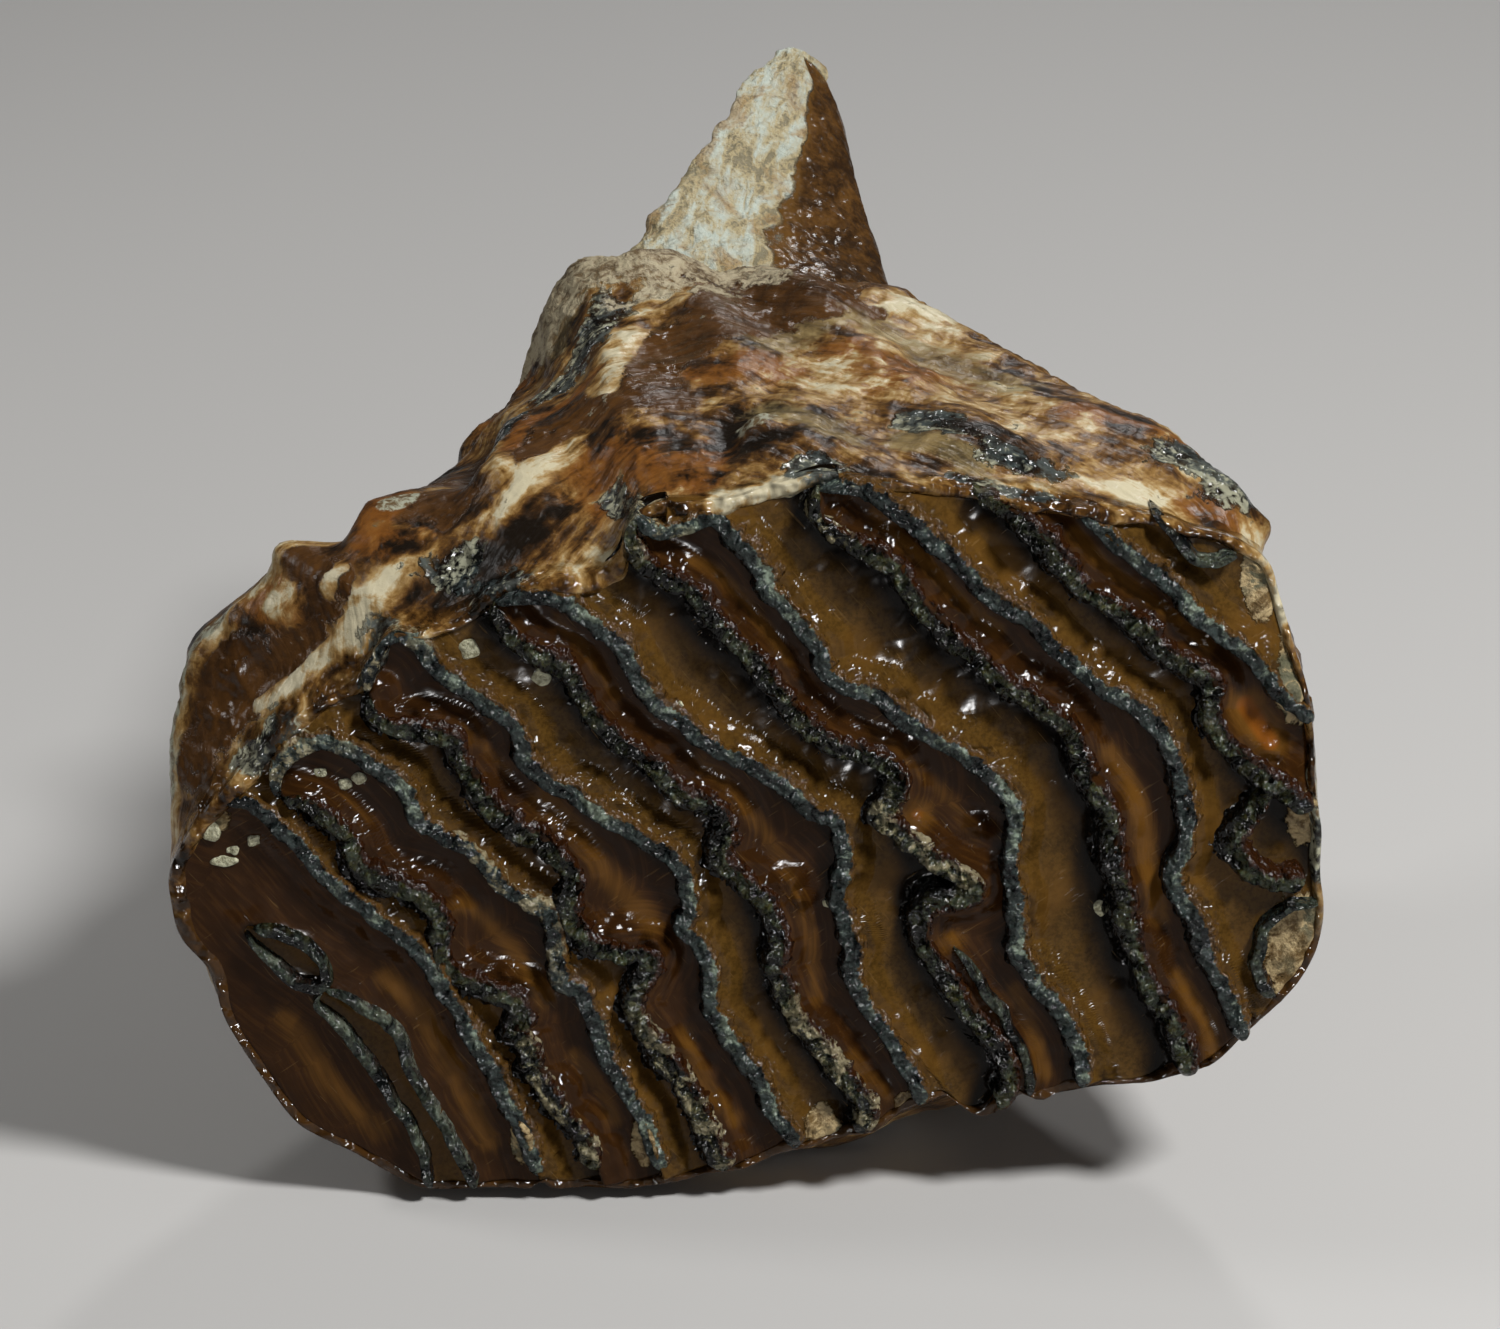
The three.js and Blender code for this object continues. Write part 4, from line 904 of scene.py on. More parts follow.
# The standing root: slices with rounded corners are blended along its length, and closed by a blunt
# broken end. Broken flanks are stepped and gritty, the old surface on the right is smooth.
def makeRoot(material, look=rootLook):
    turn = np.linspace(0, 4, look["around"], endpoint=False)
    first = np.floor(turn).astype(int)
    part = turn - first
    straight = np.array([0 * part, 1 - part, part, 0 * part])
    weights = look["roundness"] * fourWeights(part) + (1 - look["roundness"]) * straight
    knots = np.array([corners for depth, corners in rootSlices], float)
    loops = sum(weights[k][None, :, None] * knots[:, (first + k - 1) % 4] for k in range(4))
    depths = np.array([depth for depth, corners in rootSlices], float)
    want = depths[0] + (depths[-1] - depths[0]) * np.linspace(0, 1, look["along"])
    grid = blendRows(loops, depths, want)
    place = np.stack([grid[..., 0], np.broadcast_to(want[:, None], grid.shape[:2]), grid[..., 1]], -1)
    centre = place.mean(axis=1, keepdims=True)
    tip = centre[-1:] + (place[-1:] - centre[-1:]) * np.array(look["tipSizes"])[:, None, None]
    tip[..., 1] += np.array(look["tipSteps"])[:, None] * (1 + 0.3 * np.sin(3 * turn))
    start = centre[:1] + (place[:1] - centre[:1]) * np.array([0.3, 0.7])[:, None, None]
    start[..., 1] += 2.0
    place = np.concatenate([start, place, tip])
    fromMiddle = place - place.mean(axis=1, keepdims=True)
    outward = fromMiddle * np.array([1, 0, 1])
    outward /= np.linalg.norm(outward, axis=-1, keepdims=True) + 1e-6
    # The broken flank runs from the crest round the left to the underside.
    ragged = cloud(place, 6, 61, 3, 0.6)
    ends, starts = look["flankEnds"]
    tipStart = look["tipStart"]
    broken = np.maximum(smoothStep(*ends, turn + 0.22 * ragged), smoothStep(*starts, turn))
    broken = np.maximum(broken, smoothStep(tipStart, tipStart + 3, place[..., 1] + 2 * ragged))
    broad, small = look["grit"]
    grit = broad * cloud(place, 6, 63, 4, 0.6) + small * np.abs(cloud(place, 1.8, 65, 3, 0.6))
    ledges = look["ledges"] * np.sin((place[..., 1] + place[..., 2]) * 0.55 + 5 * cloud(place, 8, 67, 3))
    broad, small = look["skin"]
    soft = broad * cloud(place, 9, 69, 2) + small * cloud(place, 2.2, 71, 3, 0.6)
    shrink = np.clip(np.linalg.norm(fromMiddle, axis=-1) / 4, 0, 1)
    raised = broken * (grit + ledges) + (1 - broken) * soft
    place = place + (raised * shrink)[..., None] * outward
    nearTip = smoothStep(tipStart - 2, tipStart + 3, place[..., 1])
    place[..., 1] += look["tipGrit"] * cloud(place, 2.5, 73, 3, 0.6) * nearTip
    finishPiece("broken_root", skinMesh("broken_root", [place]), {"broken": withEnds(broken)}, material)


# Broken roots behind the crown: centre x and z, radius, where they end, a turn for their outline and
# a seed for their noise.
stumps = {"root_stump_a": (-9, -33, 13, 80, 0.4, 200), "root_stump_b": (9, -20, 11, 83, 2.1, 220)}
stumpLook = {
    "around": 132,
    "along": 90,
    # shares of the way over the skin, and the share of the radius there
    "stations": [0, 0.05, 0.42, 0.62, 0.68, 0.76, 0.86, 1],
    "sizes": [0.3, 1.25, 1.02, 0.9, 0.78, 0.48, 0.36, 0.1],
    "startDepth": 58,
    "squash": 0.85,    # how high the outline is for its width
    "uneven": (0.12, 0.05),  # two and five lobes of the outline, as shares of the radius
    "bumps": (0.7, 0.35),
    "raggedEnd": (1.6, 1.3),
}


# A broken stump: rings of an uneven outline run back from the crown, turn in over a ragged end and
# sink into the hollow of the pulp. Its depth is measured along the stump.
def makeStump(name, stump, material, look=stumpLook):
    x, z, radius, end, turnBy, seed = stump
    turn = np.arange(look["around"]) / look["around"] * twoPi
    share = np.linspace(0, 1, look["along"])[:, None]
    startDepth = look["startDepth"]
    depths = [startDepth + 2, startDepth, end - 6, end - 1, end, end - 1.5, end - 7, end - 9]
    size = np.interp(share, look["stations"], look["sizes"]) * radius
    two, five = look["uneven"]
    size = size * (1 + two * np.sin(2 * turn + turnBy) + five * np.sin(5 * turn + 2 * turnBy))
    ragged = smoothStep(0.35, 0.62, share)
    waves, grit = look["raggedEnd"]
    depth = np.interp(share, look["stations"], depths) + ragged * waves * np.sin(3 * turn + turnBy)
    place = np.stack([x + size * np.cos(turn), depth, z + look["squash"] * size * np.sin(turn)], -1)
    outward = np.stack([np.cos(turn), 0 * turn, np.sin(turn)], axis=-1)
    sign = 2 * smoothStep(0.62, 0.55, share) - 1
    broad, small = look["bumps"]
    bumps = broad * cloud(place, 5, seed, 3) + small * cloud(place, 1.5, seed + 2, 3, 0.6)
    bumps *= sign * smoothStep(0, 0.06, share) * smoothStep(1.0, 0.9, share)
    place = place + bumps[..., None] * outward
    place[..., 1] += ragged * (grit * cloud(place, 3.5, seed + 4, 4, 0.6))
    place[..., 1] = np.minimum(place[..., 1], end + 1.5)
    broken = np.broadcast_to(smoothStep(0.45, 0.6, share), place.shape[:2])
    finishPiece(name, skinMesh(name, [place]), {"broken": withEnds(broken)}, material)


# Crumbs of pale rock that stick to the wear face: x, z, size across, size up.
crumbs = [
    (-49.4, -13.5, 0.8, 0.6), (-46.6, -15, 0.9, 0.7), (-45, -14.5, 0.8, 0.8), (-61, -25, 1.6, 0.8),
    (-60, -23.6, 0.8, 0.6), (-57.3, -22.3, 0.8, 0.8), (-32, 1.8, 1.3, 1.2), (-23.9, -2, 1.2, 1.0),
    (41, -32, 0.9, 1.2), (-62.3, -21, 1.2, 1.4), (9, -31, 0.6, 0.5), (-8, -5, 0.5, 0.4),
]
crumbLook = {"around": 16, "rings": 9, "corners": 0.6, "size": 0.9, "thick": 0.4, "lumps": 0.35,
             "turnEach": 1.9}


# Each crumb is a ball with its sides pressed flat, a power of each of its three numbers, that is
# turned on the face and made lumpy; all of them are one mesh.
def makeCrumbs(material, look=crumbLook):
    turn = np.arange(look["around"]) / look["around"] * twoPi
    tilt = np.linspace(0.15, math.pi - 0.15, look["rings"])[:, None]
    ball = np.stack([np.sin(tilt) * np.cos(turn), -np.cos(tilt) + 0 * turn,
                     np.sin(tilt) * np.sin(turn)], axis=-1)
    ball = np.sign(ball) * np.abs(ball) ** look["corners"]
    skins = []
    for number, (x, z, wide, tall) in enumerate(crumbs):
        level = float(wornFace(np.array([x]), np.array([z]))["y"][0])
        cosine, sine = math.cos(look["turnEach"] * number), math.sin(look["turnEach"] * number)
        block = np.stack([ball[..., 0] * cosine - ball[..., 2] * sine, ball[..., 1],
                          ball[..., 0] * sine + ball[..., 2] * cosine], axis=-1)
        size = np.array([wide, look["thick"] * min(wide, tall), tall])
        place = look["size"] * block * size + np.array([x, level, z])
        skins.append(place + look["lumps"] * cloud(place, 0.9, 81, 3)[..., None] * block)
    finishPiece("stuck_crumbs", skinMesh("stuck_crumbs", skins), {}, material)


# Fills a colour ramp, which starts with two stops. Each stop is a position and a colour.
def setStops(scale, stops):
    for position, colour in stops[1:-1]:
        scale.elements.new(position)
    for stop, (position, colour) in zip(scale.elements, stops):
        stop.position = position
        stop.color = colour


# A socket that can be added to, multiplied and so on: each step adds a Math node to its tree.
class Flow:
    def __init__(self, tree, socket=None):
        self.tree = tree
        self.socket = socket

    # Adds a node. Its settings come first, such as an operation or a ramp's stops, then the value or
    # link of each socket.
    def node(self, kind, settings, sockets, output=0):
        made = self.tree.nodes.new(kind)
        for setting, value in settings.items():
            if setting == "stops":
                setStops(made.color_ramp, value)
            else:
                setattr(made, setting, value)
        for name, value in sockets.items():
            if isinstance(value, Flow):
                self.tree.links.new(value.socket, made.inputs[name])
            else:
                made.inputs[name].default_value = value
        return Flow(self.tree, made.outputs[output] if len(made.outputs) else None)

    # One step of arithmetic: a Math node with its sockets filled in order.
    def maths(self, operation, *values):
        return self.node("ShaderNodeMath", {"operation": operation}, dict(enumerate(values)))

    def __add__(self, other):
        return self.maths("ADD", self, other)

    def __sub__(self, other):
        return self.maths("SUBTRACT", self, other)

    def __rsub__(self, other):
        return self.maths("SUBTRACT", other, self)

    def __mul__(self, other):
        return self.maths("MULTIPLY", self, other)

    __radd__ = __add__
    __rmul__ = __mul__

    # The greater of two values.
    def orMore(self, other):
        return self.maths("MAXIMUM", self, other)

    # 0 below low and 1 above high with a soft S between; low may be the greater.
    def rise(self, low, high):
        return self.node("ShaderNodeMapRange", {"interpolation_type": "SMOOTHSTEP"},
                         {"Value": self, "From Min": low, "From Max": high})

    # From one colour to the other as this value goes from 0 to 1.
    def blend(self, first, second):
        sockets = {0: self, 6: first, 7: second}
        return self.node("ShaderNodeMix", {"data_type": "RGBA"}, sockets, 2)

    # The colour at this value on a scale of stops.
    def ramp(self, stops):
        return self.node("ShaderNodeValToRGB", {"stops": stops}, {0: self})

    # This place with each of its three numbers multiplied.
    def stretched(self, x, y, z):
        return self.node("ShaderNodeVectorMath", {"operation": "MULTIPLY"}, {0: self, 1: (x, y, z)})

    # This place turned about the line of sight onto the wear face.
    def turned(self, angle):
        return self.node("ShaderNodeMapping", {}, {"Vector": self, "Rotation": (0, angle, 0)})

    # One of the three numbers of this place: X, Y or Z.
    def part(self, letter):
        return self.node("ShaderNodeSeparateXYZ", {}, {0: self}, letter)

    # A named mark of the mesh: a number, or a place with output 1.
    def mark(self, name, output=2):
        return self.node("ShaderNodeAttribute", {"attribute_name": name}, {}, output)

    # Cloudy noise from 0 to 1 whose patches measure about size, in the units of this place.
    def noise(self, size, detail=3.0, roughness=0.55, distortion=0.0):
        return self.node("ShaderNodeTexNoise", {}, {
            "Vector": self, "Scale": 1 / size, "Detail": detail, "Roughness": roughness,
            "Distortion": distortion})


# A colour given as 0 to 255 on a screen, made linear.
def tint(red, green, blue):
    screen = np.array([red, green, blue]) / 255
    linear = np.where(screen > 0.04045, ((screen + 0.055) / 1.055) ** 2.4, screen / 12.92)
    return (*linear.tolist(), 1.0)


# A wet material. Its finish function takes a flow and a place in millimetres, and gives the colour,
# the roughness and the bump height.
def wetMaterial(name, finish, look):
    material = bpy.data.materials.new(name)
    material.use_nodes = True
    material.node_tree.nodes.clear()
    flow = Flow(material.node_tree)
    metres = flow.node("ShaderNodeTexCoord", {}, {}, 3)
    colour, roughness, height = finish(flow, metres.stretched(1000, 1000, 1000), look)
    bump = flow.node("ShaderNodeBump", {}, {
        "Strength": 1.0, "Distance": look["bump"] * millimetre, "Height": height})
    shader = flow.node("ShaderNodeBsdfPrincipled", {}, {
        "Base Color": colour, "Roughness": roughness, "Normal": bump, "IOR": look["sheen"]})
    flow.node("ShaderNodeOutputMaterial", {}, {"Surface": shader})
    return material


faceColours = {
    "cement": tint(85, 61, 25), "cementDark": tint(66, 46, 18), "cementWarm": tint(97, 67, 26),
    # The near black at the cement's foot and the dark beside the dentine's bands are painted shade.
    "cementFoot": tint(4, 3, 2), "dentineRim": tint(26, 15, 4), "dentine": tint(50, 29, 10),
    "dentineLine": tint(76, 47, 18), "glow": tint(102, 68, 25), "spark": tint(124, 72, 22),
    "scratch": tint(130, 100, 58), "crumb": tint(186, 164, 122), "crumbShade": tint(104, 82, 48),
    "crumbGrey": tint(92, 96, 78), "bump": 0.4, "sheen": 1.2,
}


# Cement is a speckled even brown, and a painted shadow darkens it to near black at its deep foot.
# Dentine runs from painted shade beside its bands, darkest beside the crisp enamel, to its pale
# centre, in fine lines that follow the plate. Both crumble, pale, in a few patches. The wet surface
# is pearled along the brinks beside the enamel.
def faceFinish(flow, place, look):
    dentine, across = flow.mark("dentine"), flow.mark("across")
    glow, foot = flow.mark("glow"), flow.mark("foot")
    brink, pool = flow.mark("brink"), flow.mark("pool")
    grain = flow.mark("grainPlace", 1)
    speckle = place.noise(0.55, 4, 0.65)
    cloudy = place.noise(11, 3, 0.55)
    patches = place.noise(2.6, 4, 0.65, 0.8)
    beads = place.noise(3.8, 1.5, 0.35)
    lines = grain.noise(0.6, 3, 0.6)
    bandsOf = grain.noise(2.2, 2, 0.5)
    cement = speckle.rise(0.34, 0.62).blend(look["cementDark"], look["cement"])
    cement = (cloudy.rise(0.4, 0.68) * 0.7).blend(cement, look["cementWarm"])
    # Painted shadow: the cement darkens to near black towards its deep foot.
    cement = ((foot + (cloudy - 0.5) * 0.5).rise(0.1, 0.8) * 0.97).blend(cement, look["cementFoot"])
    # Painted shade: the dentine darkens towards near black beside its bands, most beside the crisp enamel
    # and less beside the broad band.
    inward = across.rise(1.02, 0.6) * (across.rise(0.0, 0.15) * 0.65 + 0.35)
    tooth = (inward + (bandsOf - 0.5) * 0.9).rise(0.15, 0.75)
    tooth = tooth.blend(look["dentineRim"], look["dentine"])
    tooth = (lines.rise(0.46, 0.68) * inward * 0.5).blend(tooth, look["dentineLine"])
    pale = glow + ((lines - 0.5) * 0.9 + (bandsOf - 0.5) * 0.5) * glow.rise(0.0, 0.4)
    tooth = (pale.rise(0.1, 1.1) * 0.85).blend(tooth, look["glow"])
    tooth = glow.rise(0.95, 1.35).blend(tooth, look["spark"])
    colour = dentine.rise(0.35, 0.65).blend(cement, tooth)
    crumbled = (flow.mark("crumbled") + (patches - 0.5) * 1.6 + (speckle - 0.5) * 0.8).rise(0.4, 0.6)
    rubble = (patches * 0.8 + speckle * 0.4).rise(0.5, 0.7).blend(look["crumbShade"], look["crumb"])
    rubble = (cloudy.rise(0.5, 0.42) * patches.rise(0.62, 0.5) * 0.8).blend(rubble, look["crumbGrey"])
    colour = crumbled.blend(colour, rubble)
    scratches = place.turned(0.6).stretched(0.07, 1, 1.6).noise(0.5, 1).rise(0.68, 0.74)
    crossing = place.turned(-0.9).stretched(0.09, 1, 1.7).noise(0.5, 1).rise(0.69, 0.74)
    scratches = (scratches * cloudy.rise(0.45, 0.6)).orMore(crossing * cloudy.rise(0.55, 0.4))
    colour = (scratches * 0.3).blend(colour, look["scratch"])
    height = speckle * 0.02 + lines * dentine * 0.05 - scratches * 0.05
    height = height + beads * (brink * (5.5 - dentine * 3.0) + pool * 6.0 + 1.5)
    height = height + crumbled * (patches + speckle) * 0.8
    roughness = speckle * 0.1 + 0.12 - brink.orMore(pool) * 0.07 + crumbled * 0.2
    return colour, roughness, height


enamelColours = {
    "pale": tint(124, 136, 120), "slate": tint(48, 56, 54), "slateDark": tint(14, 18, 19),
    # The dark is painted shade, used down the bands' left sides, which face away from the key lamp.
    "dark": tint(4, 4, 3), "olive": tint(60, 58, 28), "grey": tint(62, 70, 56),
    "cream": tint(150, 140, 110), "cement": tint(78, 54, 22), "dentine": tint(44, 22, 7),
    "bump": 0.6, "sheen": 1.32,
}


# Crisp enamel is slate with pale folds, its left edge darkened by painted shade, and meets the cement
# on its right in a jagged edge. Broad enamel is near black, its own dark deepened by painted shade
# down its cliff on the left, with olive and grey lumps along the crest, and goes over into dentine.
# Some stretches are stained cream.
def enamelFinish(flow, place, look):
    ribPlace = flow.mark("ribPlace", 1)
    signed = ribPlace.part("Y")
    broad, stain, tone = flow.mark("broad"), flow.mark("stain"), flow.mark("tone")
    folds = ribPlace.stretched(1, 0.3, 1).noise(0.8, 4, 0.65)
    pits = place.noise(0.6, 4, 0.7)
    patches = place.noise(2.4, 4, 0.65, 0.6)
    stretches = place.noise(7, 2, 0.5)
    beads = place.noise(1.5, 1, 0.4)
    light = folds * 0.3 + pits * 0.4 + patches * 0.9 + stretches * 0.7 - tone * 0.12 - 0.5
    crisp = light.rise(0.48, 0.62).blend(look["slateDark"], look["slate"])
    crisp = (light + signed * 0.1).rise(0.7, 0.88).blend(crisp, look["pale"])
    # Painted shade: the crisp band's left edge darkens to near black.
    crisp = (signed + folds - 0.5).rise(-0.45, -0.95).blend(crisp, look["dark"])
    edge = (signed + (folds - 0.5) * 1.6 + (pits - 0.5) * 0.8).rise(0.95, 1.1)
    crisp = edge.blend(crisp, look["cement"])
    crags = (patches * 0.9 + stretches * 0.4 + pits * 0.25).rise(0.68, 0.88)
    craggy = (folds * 0.6 + pits * 0.5).rise(0.46, 0.64).blend(look["olive"], look["grey"])
    # Down the broad band's cliff on the left the lumps give way to near black: painted shade over the
    # enamel's own dark.
    crags = crags * (signed + (patches - 0.5) * 2.4).rise(-1.5, -0.6)
    rough = crags.blend(look["dark"], craggy)
    edge = (signed + (folds - 0.5) * 1.8 + (patches - 0.5) * 1.2).rise(0.5, 0.8)
    rough = edge.blend(rough, look["dentine"])
    colour = broad.rise(0.3, 0.7).blend(crisp, rough)
    cream = stain * (pits * 0.4 + patches * 1.1 + folds * 0.2).rise(0.84, 0.98) * signed.rise(-1.8, -0.9)
    colour = (cream * 0.8).blend(colour, look["cream"])
    height = pits * 0.15 + folds * 0.2 + beads * 2.8 + place.noise(0.7, 1) * 0.9
    roughness = pits.rise(0.3, 0.7) * 0.1 + 0.05
    return colour, roughness, height


wallColours = {
    # From the darkest stain to the palest fibre, each with its place on the scale of tones.
    "tones": [(0.0, tint(20, 12, 4)), (0.2, tint(54, 34, 14)), (0.36, tint(94, 64, 28)),
              (0.5, tint(134, 102, 56)), (0.64, tint(164, 136, 90)), (0.82, tint(194, 184, 154))],
    "rust": tint(124, 75, 26), "smooth": tint(48, 29, 11), "smoothWarm": tint(82, 53, 23),
    "dull": tint(78, 64, 38), "dullPale": tint(134, 118, 80), "chip": tint(164, 166, 146),
    "black": tint(10, 12, 12), "slate": tint(64, 74, 74), "slatePale": tint(158, 158, 136),
    "grain": tint(172, 160, 132), "grainShade": tint(98, 80, 54), "rim": tint(66, 43, 18),
    "bump": 0.8, "sheen": 1.32,
}


# Walls are strands of tone along the grain, from near black to cream. The marks lift or lower the
# tone; over that lie smooth cement, slate enamel, pale chips, and grit where the wall is broken.
# The rim, the enamel and some of the smooth cement are wet, and the rest has a soft gloss.
def wallFinish(flow, place, look):
    grain = flow.mark("grainPlace", 1)
    strands = grain.stretched(1.5, 1.5, 1).noise(2.6, 4, 0.58, 0.6)
    threads = grain.noise(0.7, 3, 0.6, 0.3)
    mottle = place.noise(4.6, 5, 0.6, 0.7)
    broad = place.noise(17, 3, 0.55)
    fine = place.noise(1.0, 4, 0.65, 0.5)
    beads = place.noise(2.2, 1, 0.4)
    rim, black = flow.mark("rim"), flow.mark("black")
    edge = (strands - 0.5) * 1.2 + (mottle - 0.5) * 1.7 + (fine - 0.5) * 0.9
    tone = (strands - 0.5) * 0.9 + (mottle - 0.5) * 1.6 + (threads - 0.5) * 0.3 + (fine - 0.5) * 0.45
    tone = tone + (broad - 0.5) * 0.8 + 0.36 + flow.mark("cream") * 0.18
    tone = tone + flow.mark("pale") * (strands * 0.45 + 0.1)
    tone = tone - flow.mark("rust") * 0.04 - flow.mark("dark") * 0.32
    colour = tone.ramp(look["tones"])
    rust = (flow.mark("rust") * 0.8 + edge * 0.9 - 0.15).rise(0.1, 0.8)
    colour = (rust * 0.75 * tone.rise(0.7, 0.45)).blend(colour, look["rust"])
    dull = (flow.mark("dull") + edge).rise(0.3, 0.9)
    cloudy = (strands * 0.5 + mottle * 0.5 + fine * 0.1).rise(0.42, 0.66)
    colour = (dull * 0.75).blend(colour, cloudy.blend(look["dull"], look["dullPale"]))
    smooth = flow.mark("smooth") - flow.mark("pale") - flow.mark("rust") * 0.8
    smooth = (smooth + edge * 0.8).rise(0.34, 0.68)
    cementy = (fine * 0.25 + broad * 0.5 + strands * 0.5 + threads * 0.2).rise(0.56, 0.86)
    colour = smooth.blend(colour, cementy.blend(look["smooth"], look["smoothWarm"]))
    black = (black + edge * 1.2).rise(0.5, 0.85)
    slaty = (fine * 0.5 + mottle * 0.7).rise(0.52, 0.7).blend(look["black"], look["slate"])
    slaty = ((strands * 0.6 + fine * 0.5).rise(0.58, 0.68) * 0.9).blend(slaty, look["slatePale"])
    colour = (black * 0.92).blend(colour, slaty)
    chip = (flow.mark("chip") + edge * 0.7).rise(0.3, 0.6) * (strands * 0.5 + fine * 0.6).rise(0.3, 0.5)
    colour = (chip * 0.9).blend(colour, fine.rise(0.42, 0.58).blend(look["grainShade"], look["chip"]))
    grit = (flow.mark("grain") + edge).rise(0.4, 0.7)
    gritty = (fine * 0.6 + mottle * 0.5).rise(0.44, 0.62).blend(look["grainShade"], look["grain"])
    colour = (grit * 0.9).blend(colour, gritty)
    colour = (rim * flow.mark("lower")).rise(0.2, 0.7).blend(colour, look["rim"])
    wet = ((rim * 0.9).orMore(black).orMore(smooth * 0.34) + place.noise(8, 1) - 0.5).rise(0.2, 0.8)
    height = (threads + fine) * (0.16 - wet * 0.1) + grain.noise(1.3, 1) * 0.35
    height = height + beads * (wet * 2.4 + 0.5) + grit * fine * 0.5
    roughness = grit * 0.2 + fine * 0.1 + 0.27 - wet * 0.22
    return colour, roughness, height


rootColours = {
    "white": tint(186, 194, 182), "cream": tint(176, 160, 120), "shade": tint(112, 106, 84),
    "tan": tint(156, 122, 66), "brown": tint(42, 26, 11), "brownWarm": tint(68, 42, 18),
    "edge": tint(106, 74, 32), "crack": tint(84, 64, 38),
    "bump": 0.8, "sheen": 1.4,
}


# Broken dentine is white and cream in streaks that run slanting along the root, with tan stains and
# dark pits; the old root surface is smooth dark brown, with a warm edge where the two meet.
def rootFinish(flow, place, look):
    broken = flow.mark("broken")
    fine = place.noise(0.8, 4, 0.65, 0.4)
    mottle = place.noise(6, 4, 0.6, 1.0)
    streaks = place.turned(-0.5).stretched(1, 0.3, 0.5).noise(2.4, 4, 0.6, 0.6)
    beads = place.noise(1.8, 1, 0.4)
    pale = (streaks * 0.9 + fine * 0.2).rise(0.46, 0.64).blend(look["cream"], look["white"])
    pale = ((mottle * 0.8 + streaks * 0.3).rise(0.54, 0.68) * 0.7).blend(pale, look["tan"])
    pale = ((streaks * 0.7 + fine * 0.45).rise(0.54, 0.44) * 0.8).blend(pale, look["shade"])
    pale = ((fine * 0.6 + mottle * 0.5).rise(0.6, 0.72) * 0.6).blend(pale, look["crack"])
    skin = (mottle * 0.8 + fine * 0.4).rise(0.5, 0.75).blend(look["brown"], look["brownWarm"])
    share = broken + (fine - 0.5) * 0.5 + (mottle - 0.5) * 0.8
    skin = (share.rise(-0.2, 0.35) * 0.7).blend(skin, look["edge"])
    share = share.rise(0.35, 0.6)
    colour = share.blend(skin, pale)
    height = fine * (share * 0.7 + 0.1) + streaks * share + beads
    roughness = share * 0.3 + fine * 0.2 + 0.14
    return colour, roughness, height


crumbColours = {"pale": tint(214, 212, 180), "shade": tint(150, 146, 114), "bump": 0.4, "sheen": 1.4}


# Crumbs are dry: one pale speckle gives their colour, their roughness and their bumps.
def crumbFinish(flow, place, look):
    speckle = place.noise(0.5, 3, 0.7)
    colour = speckle.rise(0.38, 0.62).blend(look["shade"], look["pale"])
    roughness = speckle * 0.3 + 0.5
    return colour, roughness, speckle


wearMaterial = wetMaterial("worn cement and dentine", faceFinish, faceColours)
enamelMaterial = wetMaterial("enamel", enamelFinish, enamelColours)
wallMaterial = wetMaterial("wall cement", wallFinish, wallColours)
rootMaterial = wetMaterial("broken root", rootFinish, rootColours)
crumbMaterial = wetMaterial("stuck crumbs", crumbFinish, crumbColours)
print("made materials")

makeWearFace(wearMaterial)
makeEnamel(enamelMaterial)
makeWalls(wallMaterial)
makeRoot(rootMaterial)
for name, stump in stumps.items():
    makeStump(name, stump, rootMaterial)
makeCrumbs(crumbMaterial)

studioLook = {
    "floorSize": 8.0,
    "floorColour": (0.52, 0.51, 0.495, 1.0),
    "floorRoughness": 0.9,
    "worldColour": (0.80, 0.79, 0.77, 1.0),
    "worldStrength": 0.07,
    "exposure": 0.0,
    # name, place and target from the middle of the wear face in metres, size, watts
    "lamps": [("key", (0.40, -0.26, 0.60), (0, 0.03, -0.02), 0.15, 6.7),
              ("glint", (0.10, -0.74, 0.20), (0, 0, -0.02), 0.12, 6.5),
              ("left", (-0.62, 0.10, 0.52), (0, 0.03, -0.02), 0.12, 1.2),
              ("back", (0.16, 0.72, 0.60), (0, 0.05, 0), 0.10, 1.6)],
}
cameraLook = {"tilt": 24.0, "distance": 0.520, "lens": 109.8, "sensor": 36.0, "farthest": 20}


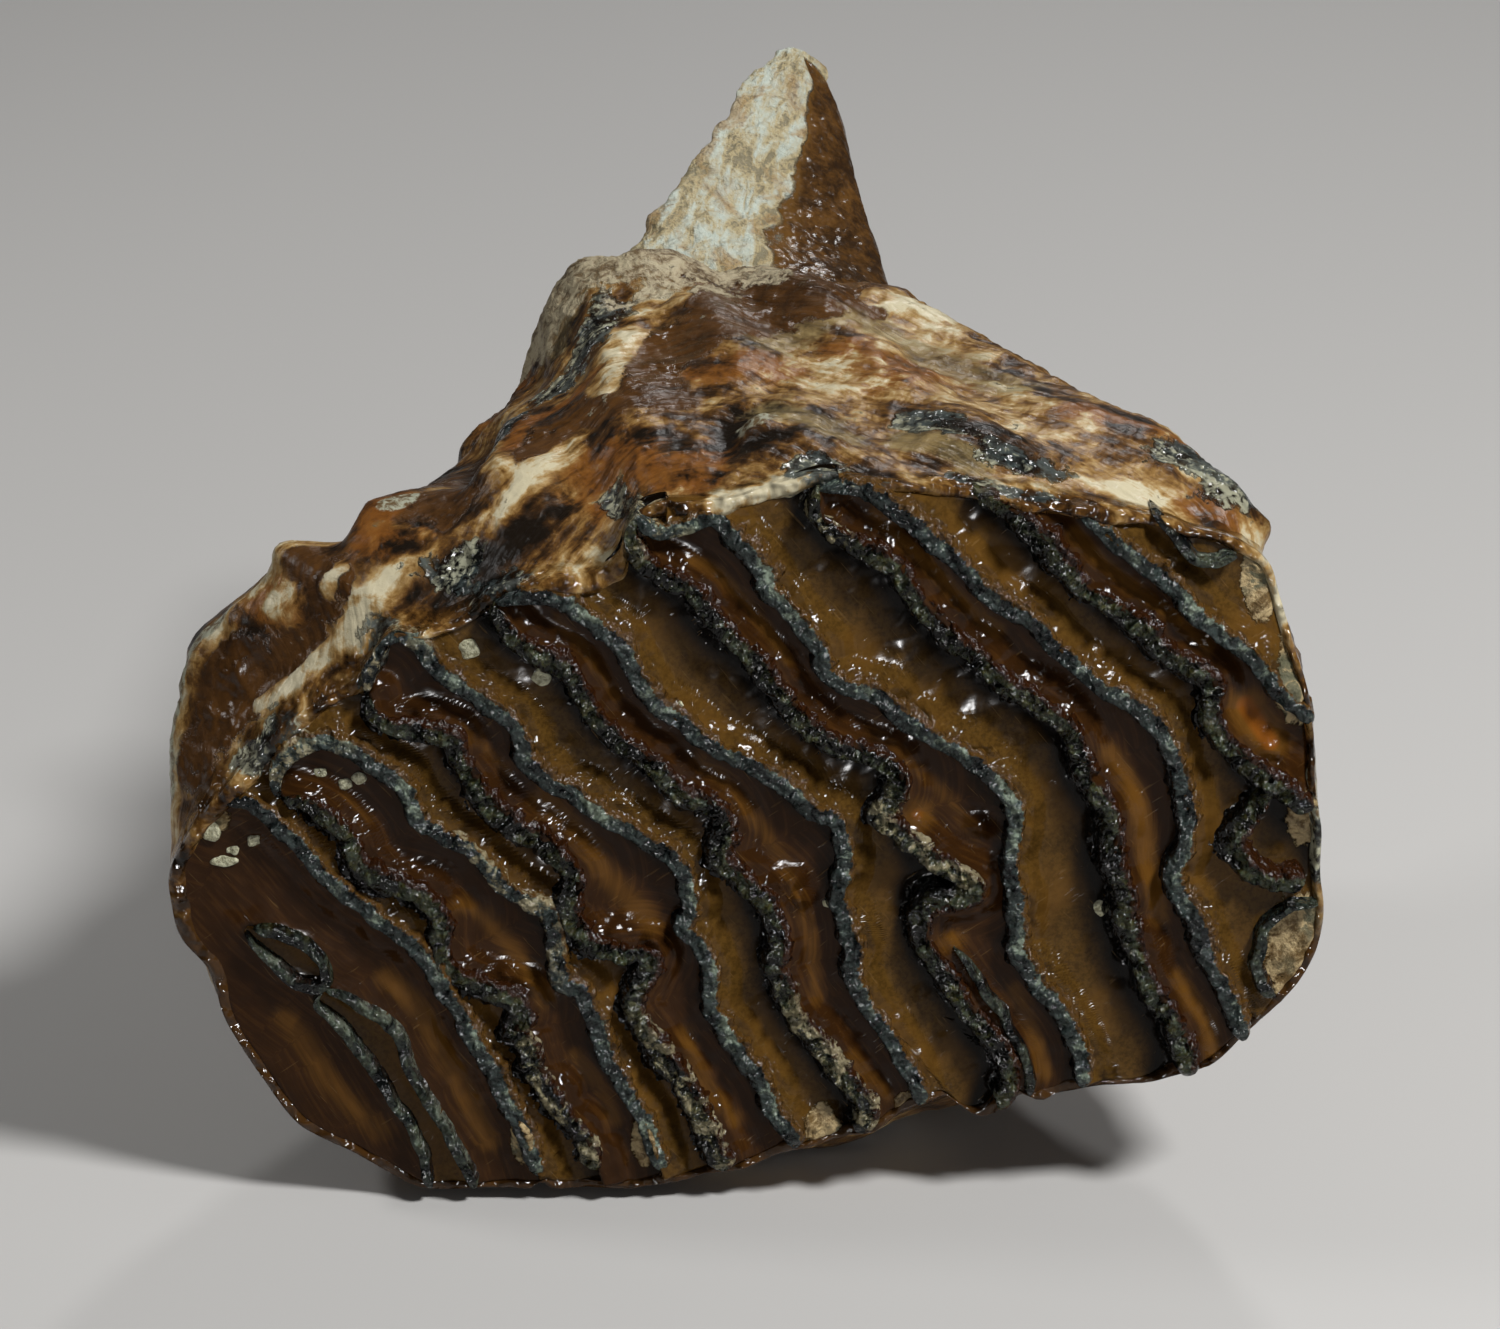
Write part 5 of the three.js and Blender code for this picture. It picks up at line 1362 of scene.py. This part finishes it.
# A floor far wider than the view, soft lamps that face the tooth, and a dim pale surrounding.
def makeStudio(look=studioLook):
    half = look["floorSize"] / 2
    mesh = bpy.data.meshes.new("floor")
    mesh.from_pydata([(-half, -half, 0), (half, -half, 0), (half, half, 0), (-half, half, 0)], [],
                     [(0, 1, 2, 3)])
    floor = bpy.data.objects.new("floor", mesh)
    bpy.context.scene.collection.objects.link(floor)
    material = bpy.data.materials.new("pale floor")
    material.use_nodes = True
    shader = material.node_tree.nodes["Principled BSDF"]
    shader.inputs["Base Color"].default_value = look["floorColour"]
    shader.inputs["Roughness"].default_value = look["floorRoughness"]
    mesh.materials.append(material)
    middle = Vector(toFrame * millimetre)
    for name, place, target, size, watts in look["lamps"]:
        lamp = bpy.data.lights.new(name, "AREA")
        lamp.shape = "DISK"
        lamp.size = size
        lamp.energy = watts
        holder = bpy.data.objects.new(name, lamp)
        bpy.context.scene.collection.objects.link(holder)
        holder.location = middle + Vector(place)
        # The glint lamp shows only in highlights.
        holder.visible_diffuse = name != "glint"
        holder.rotation_euler = (Vector(target) - Vector(place)).to_track_quat("-Z", "Y").to_euler()
    world = bpy.data.worlds.new("surroundings")
    world.use_nodes = True
    world.node_tree.nodes["Background"].inputs["Color"].default_value = look["worldColour"]
    world.node_tree.nodes["Background"].inputs["Strength"].default_value = look["worldStrength"]
    bpy.context.scene.world = world
    bpy.context.scene.view_settings.view_transform = "Standard"
    bpy.context.scene.view_settings.exposure = look["exposure"]
    print("made studio")


# The camera looks down at the middle of the wear face from straight in front.
def makeCamera(look=cameraLook):
    camera = bpy.data.cameras.new("camera")
    camera.lens = look["lens"]
    camera.sensor_width = look["sensor"]
    camera.sensor_fit = "HORIZONTAL"
    camera.clip_end = look["farthest"]
    holder = bpy.data.objects.new("camera", camera)
    bpy.context.scene.collection.objects.link(holder)
    tilt = math.radians(look["tilt"])
    away = Vector((0, -math.cos(tilt), math.sin(tilt))) * look["distance"]
    holder.location = Vector(toFrame * millimetre) + away
    holder.rotation_euler = (math.pi / 2 - tilt, 0, 0)
    bpy.context.scene.camera = holder
    print("made camera")


makeStudio()
makeCamera()
